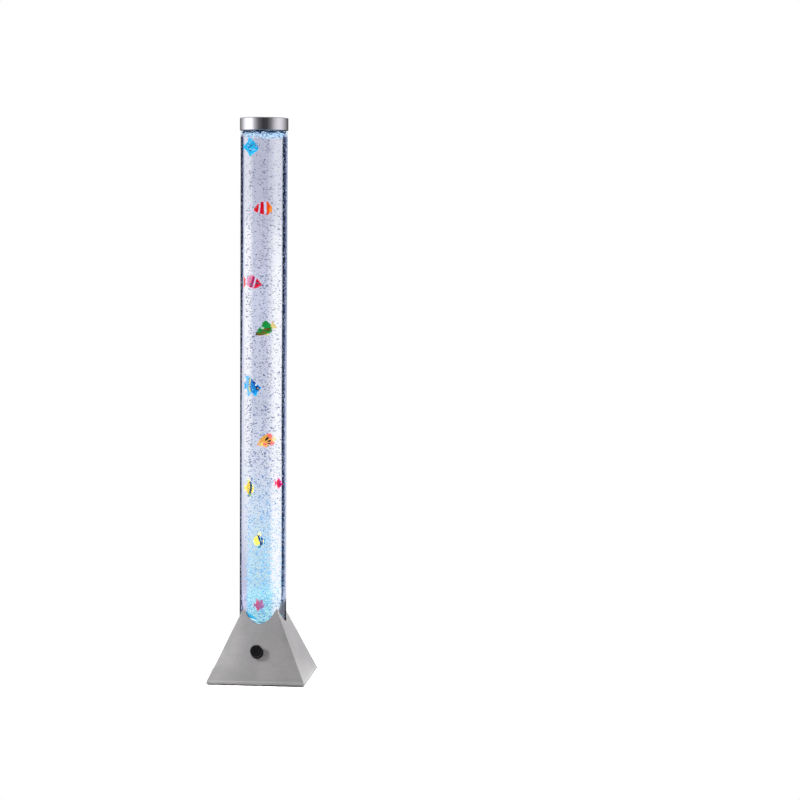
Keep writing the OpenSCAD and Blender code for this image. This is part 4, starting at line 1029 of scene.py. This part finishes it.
FISH["fish_green"] = dict(
    slot="fish_green", face=-1,
    top=[(-98, -78), (-86, -36), (-65, 2), (-42, 24), (-15, 36), (12, 36), (32, 26), (46, 10)],
    bottom=[(-95, -96), (-72, -98), (-40, -96), (-12, -86), (12, -68), (30, -46), (40, -22), (48, 0)],
    fins=[
        ([(-46, 20), (-10, 34), (26, 28)], [(-36, 66), (-12, 99), (10, 84), (28, 56)], 8, 1),
        ([(16, 34), (34, 22), (46, -4)], [(30, 60), (44, 30), (58, -34)], 6, 1),
        ([(6, -70), (26, -48), (42, -14)], [(20, -74), (40, -52), (54, -38)], 5, 1),
        ([(36, 22), (44, 10), (46, -4)], [(50, 99), (74, 52), (100, -2)], 9, 2),
        ([(-12, -84), (2, -74), (14, -66)], [(0, -100), (10, -98), (20, -84)], 4, 2),
    ],
    side_fin=(-46, -52, 20), eye=(-74, -42, 0.0018), mouth=(-97, -88),
    ground=((0.008, 0.20, 0.025), (0.004, 0.32, 0.06)),
    marks=[
        ("patch", (0.12, 0.17, 0.012), -26, -80, 62, 24),
        ("patch", (0.05, 0.10, 0.012), 22, -20, 26, 26),
        ("slash", (0.20, 0.05, 0.015), -8, -16, 30, 8, 22),
        ("patch", (0.26, 0.012, 0.02), -26, -54, 15, 12),
        # a painted whitish highlight on the green fish's flank
        ("patch", (0.66, 0.76, 0.68), -36, 0, 14, 11, 0.6),
        ("patch", (0.10, 0.01, 0.02), -96, -84, 13, 16),
        ("patch", (0.22, 0.04, 0.015), -60, -95, 40, 8),
    ],
    fin_colours=[((0.010, 0.30, 0.05), (0.012, 0.20, 0.03)), ((0.60, 0.46, 0.13), (0.74, 0.62, 0.26))],
)
FISH["fish_blue"] = dict(
    slot="fish_blue", face=1,
    top=[(-76, 20), (-58, 58), (-36, 80), (-6, 62), (34, 34), (74, 2), (100, -13)],
    bottom=[(-76, -10), (-58, -36), (-36, -56), (-2, -70), (38, -72), (74, -42), (100, -18)],
    fins=[
        ([(-68, 42), (-42, 74), (-8, 62)], [(-90, 99), (-52, 98), (-12, 76)], 7, 1),
        ([(-62, -32), (-40, -54), (-16, -66)], [(-58, -92), (-44, -100), (-18, -80)], 6, 1),
        ([(0, -68), (26, -72), (56, -58)], [(16, -92), (34, -100), (58, -74)], 6, 2),
        ([(-74, 22), (-76, 0), (-74, -14)], [(-100, 34), (-92, 0), (-100, -40)], 6, 2),
    ],
    side_fin=(18, -30, 22), eye=(60, -22, 0.0017), mouth=(98, -15),
    ground=((0.006, 0.27, 0.64), (0.004, 0.20, 0.56)),
    marks=[
        ("patch", (0.17, 0.52, 0.84), -66, 20, 44, 90),
        ("band", (0.003, 0.045, 0.22), 46, 17, -74, 0, 12),
        ("band", (0.88, 0.80, 0.22), -34, 9, 0, 24, 4),
        ("patch", (0.42, 0.50, 0.58), -34, 6, 6, 14),
        ("patch", (0.90, 0.68, 0.26), -28, -56, 10, 8),
        ("patch", (0.70, 0.82, 0.92), 42, 12, 11, 11),
        ("patch", (0.002, 0.004, 0.02), 58, -24, 20, 17),
    ],
    fin_colours=[((0.12, 0.50, 0.84), (0.24, 0.62, 0.90)), ((0.004, 0.38, 0.80), (0.008, 0.48, 0.88))],
)
FISH["fish_orange"] = dict(
    slot="fish_orange", face=-1,
    top=[(-98, -50), (-80, -4), (-62, 30), (-32, 66), (4, 84), (36, 74), (54, 40), (64, 10)],
    bottom=[(-96, -68), (-72, -72), (-40, -80), (-8, -82), (22, -60), (46, -36), (58, -16), (66, 0)],
    fins=[
        ([(-14, 78), (24, 78), (54, 40)], [(6, 98), (46, 98), (62, 46)], 8, 1),
        ([(28, -54), (50, -32), (64, -2)], [(46, -68), (80, -44), (74, -8)], 6, 1),
        ([(-26, -78), (-10, -80), (4, -76)], [(-18, -92), (-8, -100), (4, -88)], 4, 1),
        ([(58, 16), (66, 4), (62, -6)], [(76, 74), (100, 32), (90, -20)], 8, 2),
    ],
    side_fin=(-30, -46, 18), eye=(-68, -40, 0.0017), mouth=(-97, -60),
    ground=((0.90, 0.42, 0.10), (0.72, 0.36, 0.06)),
    marks=[
        ("patch", (0.88, 0.16, 0.12), 44, 70, 30, 44, 0.4),
        ("patch", (0.86, 0.13, 0.10), 56, -34, 20, 32, 0.4),
        ("patch", (0.93, 0.62, 0.16), -56, -48, 34, 22, 0.6),
        ("patch", (0.85, 0.03, 0.14), -18, -48, 17, 15),
        ("slash", (0.004, 0.004, 0.01), 4, 26, 30, 13, 60),
        ("slash", (0.006, 0.01, 0.05), 30, -4, 24, 11, 35),
        ("slash", (0.006, 0.01, 0.05), 30, -42, 22, 10, -12),
        ("patch", (0.84, 0.04, 0.03), -97, -60, 10, 12),
    ],
    fin_colours=[((0.86, 0.13, 0.12), (0.90, 0.26, 0.22)), ((0.78, 0.70, 0.30), (0.86, 0.80, 0.46))],
)
FISH["fish_yellow_upper"] = dict(
    slot="fish_yellow", face=1,
    top=[(-52, -4), (-34, 32), (4, 56), (46, 48), (76, 22), (92, 2), (100, -12)],
    bottom=[(-52, -20), (-34, -54), (2, -78), (46, -76), (76, -56), (92, -32), (100, -16)],
    fins=[
        ([(-26, 38), (8, 54), (40, 48)], [(-22, 100), (-6, 80), (30, 62)], 6, 1),
        ([(-26, -60), (8, -76), (48, -72)], [(-12, -100), (18, -96), (48, -98)], 6, 2),
        ([(-50, 0), (-54, -12), (-50, -24)], [(-100, 26), (-88, -10), (-100, -46)], 7, 1),
    ],
    side_fin=(22, -22, 26), eye=(80, 4, 0.0012), mouth=(98, -14),
    ground=((0.90, 0.60, 0.03), (0.92, 0.72, 0.06)),
    marks=[
        ("band", (0.92, 0.48, 0.02), 0, 9, 10, 0, 8),
        ("band", (0.92, 0.52, 0.03), -26, 6, 10, 0, 6),
        ("band", (0.002, 0.04, 0.07), 50, 23, 6, -58, 6),
        ("patch", (0.20, 0.36, 0.10), 16, -78, 40, 16),
    ],
    fin_colours=[((0.90, 0.76, 0.12), (0.92, 0.86, 0.34)), ((0.16, 0.30, 0.08), (0.56, 0.62, 0.12))],
)
FISH["fish_magenta"] = dict(
    slot="fish_magenta", face=1,
    top=[(-42, 0), (-28, 34), (4, 54), (46, 46), (80, 18), (94, 2), (100, -6)],
    bottom=[(-42, -12), (-28, -46), (4, -66), (46, -60), (80, -34), (94, -18), (100, -10)],
    fins=[
        ([(-24, 36), (8, 52), (42, 44)], [(-16, 100), (10, 84), (38, 60)], 5, 1),
        ([(-24, -48), (8, -64), (42, -58)], [(-6, -100), (20, -86), (42, -70)], 5, 1),
        ([(-40, 4), (-44, -6), (-40, -16)], [(-100, 52), (-84, -4), (-100, -60)], 6, 2),
    ],
    side_fin=(18, -16, 28), eye=(66, 4, 0.0014), mouth=(98, -8),
    ground=((0.74, 0.006, 0.04), (0.68, 0.008, 0.07)),
    marks=[
        ("patch", (0.80, 0.02, 0.06), -30, -10, 34, 50, 0.5),
        ("patch", (0.52, 0.006, 0.14), 64, -6, 34, 60, 0.5),
    ],
    fin_colours=[((0.84, 0.30, 0.50), (0.90, 0.48, 0.64)), ((0.80, 0.05, 0.14), (0.84, 0.14, 0.26))],
)
FISH["fish_yellow_lower"] = dict(
    slot="fish_yellow", face=-1,
    top=[(-100, -24), (-88, 12), (-60, 34), (-22, 44), (20, 34), (50, 12), (66, -16)],
    bottom=[(-98, -32), (-80, -60), (-46, -74), (-8, -78), (28, -72), (54, -54), (66, -34)],
    fins=[
        ([(-38, 38), (-14, 42), (16, 34)], [(20, 100), (8, 74), (26, 50)], 6, 1),
        ([(-34, -72), (-8, -76), (24, -70)], [(-20, -100), (0, -94), (26, -86)], 5, 2),
        ([(64, -14), (68, -26), (64, -38)], [(98, 14), (88, -24), (100, -66)], 7, 2),
    ],
    side_fin=(-44, -26, 22), eye=(-70, -8, 0.0013), mouth=(-98, -28),
    ground=((0.84, 0.66, 0.08), (0.92, 0.68, 0.06)),
    spots=((0.34, 0.38, 0.66), 260.0, 0.20),
    marks=[
        ("band", (0.001, 0.02, 0.13), 34, 32, -34, -44, 5),
        ("band", (0.40, 0.60, 0.50), 24, 5, -34, -44, 3),
        ("band", (0.001, 0.02, 0.13), 0, 11, -60, 0, 4),
        ("patch", (0.90, 0.74, 0.12), 64, -20, 7, 34),
        ("patch", (0.06, 0.36, 0.36), -10, -82, 46, 14),
    ],
    fin_colours=[((0.90, 0.74, 0.14), (0.92, 0.84, 0.30)), ((0.006, 0.07, 0.24), (0.08, 0.40, 0.42))],
)
FISH["fish_pink"] = dict(
    slot="fish_pink", face=1,
    top=[(-62, 6), (-44, 34), (-14, 50), (24, 48), (62, 34), (88, 10), (100, -6)],
    bottom=[(-62, -12), (-44, -40), (-14, -56), (24, -54), (62, -44), (88, -24), (100, -10)],
    fins=[
        ([(-46, 30), (-18, 46), (8, 48)], [(-38, 100), (-20, 78), (2, 62)], 5, 1),
        ([(16, 48), (42, 42), (66, 30)], [(40, 78), (62, 66), (80, 44)], 5, 2),
        ([(-40, -40), (-14, -54), (20, -54)], [(-28, -100), (-8, -80), (20, -66)], 5, 1),
        ([(-60, 10), (-64, -2), (-60, -14)], [(-100, 46), (-86, 0), (-100, -48)], 6, 2),
    ],
    side_fin=(24, -12, 24), eye=(66, 6, 0.0016), mouth=(98, -8),
    ground=((0.38, 0.12, 0.25), (0.44, 0.13, 0.26)),
    spots=((0.34, 0.14, 0.46), 200.0, 0.22),
    marks=[
        ("patch", (0.62, 0.10, 0.18), -26, 20, 26, 30, 0.6),
        ("patch", (0.58, 0.06, 0.16), -20, -44, 24, 24, 0.6),
    ],
    fin_colours=[((0.52, 0.06, 0.13), (0.62, 0.20, 0.28)), ((0.34, 0.09, 0.22), (0.44, 0.16, 0.28))],
)


def add_all_fish():
    white = eye_look("eye white", (0.70, 0.72, 0.72), (0.85, 0.86, 0.84), 0.18)
    pupil = eye_look("eye pupil", (0.004, 0.006, 0.012), (0.012, 0.02, 0.03), 0.08)
    for name, spec in FISH.items():
        add_fish(name, spec, [white, pupil])


# ---- studio ------------------------------------------------------------------------------------
def area_light(name, at, aim, size, watts):
    data = bpy.data.lights.new(name, "AREA")
    data.shape = "RECTANGLE"
    data.size, data.size_y = size
    data.energy = watts
    made = bpy.data.objects.new(name, data)
    bpy.context.scene.collection.objects.link(made)
    made.location = at
    made.rotation_euler = (Vector(aim) - Vector(at)).to_track_quat("-Z", "Y").to_euler()
    made.visible_camera = False
    return made


def around_view(degrees, distance, height):
    """A point round the lamp: 0 degrees is towards the camera, positive to the right of the view."""
    to_camera = math.atan2(CAMERA_AT[1], CAMERA_AT[0])
    angle = to_camera + math.radians(degrees)
    return (distance * math.cos(angle), distance * math.sin(angle), height)


# The room's brightness in shiny faces: degrees round the lamp from the camera's side, and the level there.
ROOM_LEVELS = (
    (-180, 0.15), (-148, 0.20), (-120, 0.68), (-92, 1.50), (-66, 1.50), (-46, 0.52), (-28, 0.16), (-5, 0.045),
    (14, 0.06), (32, 0.20), (52, 0.65), (72, 0.97), (90, 0.88), (118, 0.43), (140, 0.14), (180, 0.14),
)
ROOM_PEAK = 1.6


def room_reflection(tree):
    """Two tall softboxes with soft edges, a dark room between them and a pale ceiling."""
    way = put(tree, "ShaderNodeTexCoord", out="Generated")
    to_camera = Vector((CAMERA_AT[0], CAMERA_AT[1], 0.0)).normalized()
    to_right = Vector((-to_camera.y, to_camera.x, 0.0))
    ahead, aside = (
        put(tree, "ShaderNodeVectorMath", {0: way, 1: tuple(axis)}, "Value", operation="DOT_PRODUCT")
        for axis in (to_camera, to_right)
    )
    turn = maths("ARCTAN2", aside, ahead) / (2.0 * math.pi) + 0.5
    stops = [((degrees + 180) / 360.0, level / ROOM_PEAK) for degrees, level in ROOM_LEVELS]
    upward = rise(put(tree, "ShaderNodeSeparateXYZ", {0: way}, "Z"), 0.10, 0.50)
    return ramp(turn, stops, False) * ROOM_PEAK * (1.0 - upward) + upward * CEILING


def add_world():
    """White to the camera and through glass, a studio in reflections, and a soft light otherwise."""
    world = bpy.data.worlds.new("white studio")
    bpy.context.scene.world = world
    world.use_nodes = True
    tree = world.node_tree
    tree.nodes.clear()
    kinds = ("Camera", "Transmission", "Glossy")
    camera, through, shiny = (put(tree, "ShaderNodeLightPath", out="Is %s Ray" % kind) for kind in kinds)
    dim = room_reflection(tree) * shiny + (1.0 - shiny) * SOFT_LIGHT
    level = rescale(maths("MAXIMUM", camera, through), 0.0, 1.0, dim, 1.0)
    light = put(tree, "ShaderNodeBackground", {0: rgba(WHITE), 1: level})
    add_node(tree, "ShaderNodeOutputWorld", {0: light})


def add_lights():
    middle = (0.0, 0.0, 0.62)
    lights = [
        area_light("left softbox", around_view(-70, 1.8, 0.9), middle, (0.75, 1.9), 15.0),
        area_light("right softbox", around_view(80, 1.9, 0.75), middle, (1.5, 1.9), 44.0),
        area_light("top softbox", (0.0, -0.5, 3.0), (0.0, 0.0, 0.0), (2.6, 2.6), 28.5),
        area_light("key", (-0.15, -0.24, 0.21), (0.0, -0.07, 0.075), (0.04, 0.04), 1.15),
        area_light("right fill", around_view(98, 0.48, 0.58), (0.06, 0.0, 0.13), (0.25, 0.25), 12.5),
    ]
    for light in lights:
        light.visible_glossy = False
    low, wide, watts_per_area = -0.5, 1.35, 0.55 * math.pi
    for top in (0.72, 0.92, 1.12):
        height, level = top - low, (top + low) / 2
        at, aim = around_view(66, 1.7, level), (0.0, 0.0, level)
        area_light("reflector to %.2f" % top, at, aim, (wide, height), watts_per_area * wide * height)


def add_floor():
    size, z = 0.9, -0.0002
    points = [(-size, -size, z), (size, -size, z), (size, size, z), (-size, size, z)]
    add_mesh("floor", points, [(0, 1, 2, 3)], [floor_look()], False)


def build():
    add_camera()
    dress_nodes()
    add_water()
    add_waterline()
    add_bubbles()
    add_froth()
    add_all_fish()
    add_world()
    add_lights()
    add_floor()
    scene = bpy.context.scene
    scene.view_settings.view_transform = "Standard"
    scene.cycles.transparent_max_bounces = 48


build()
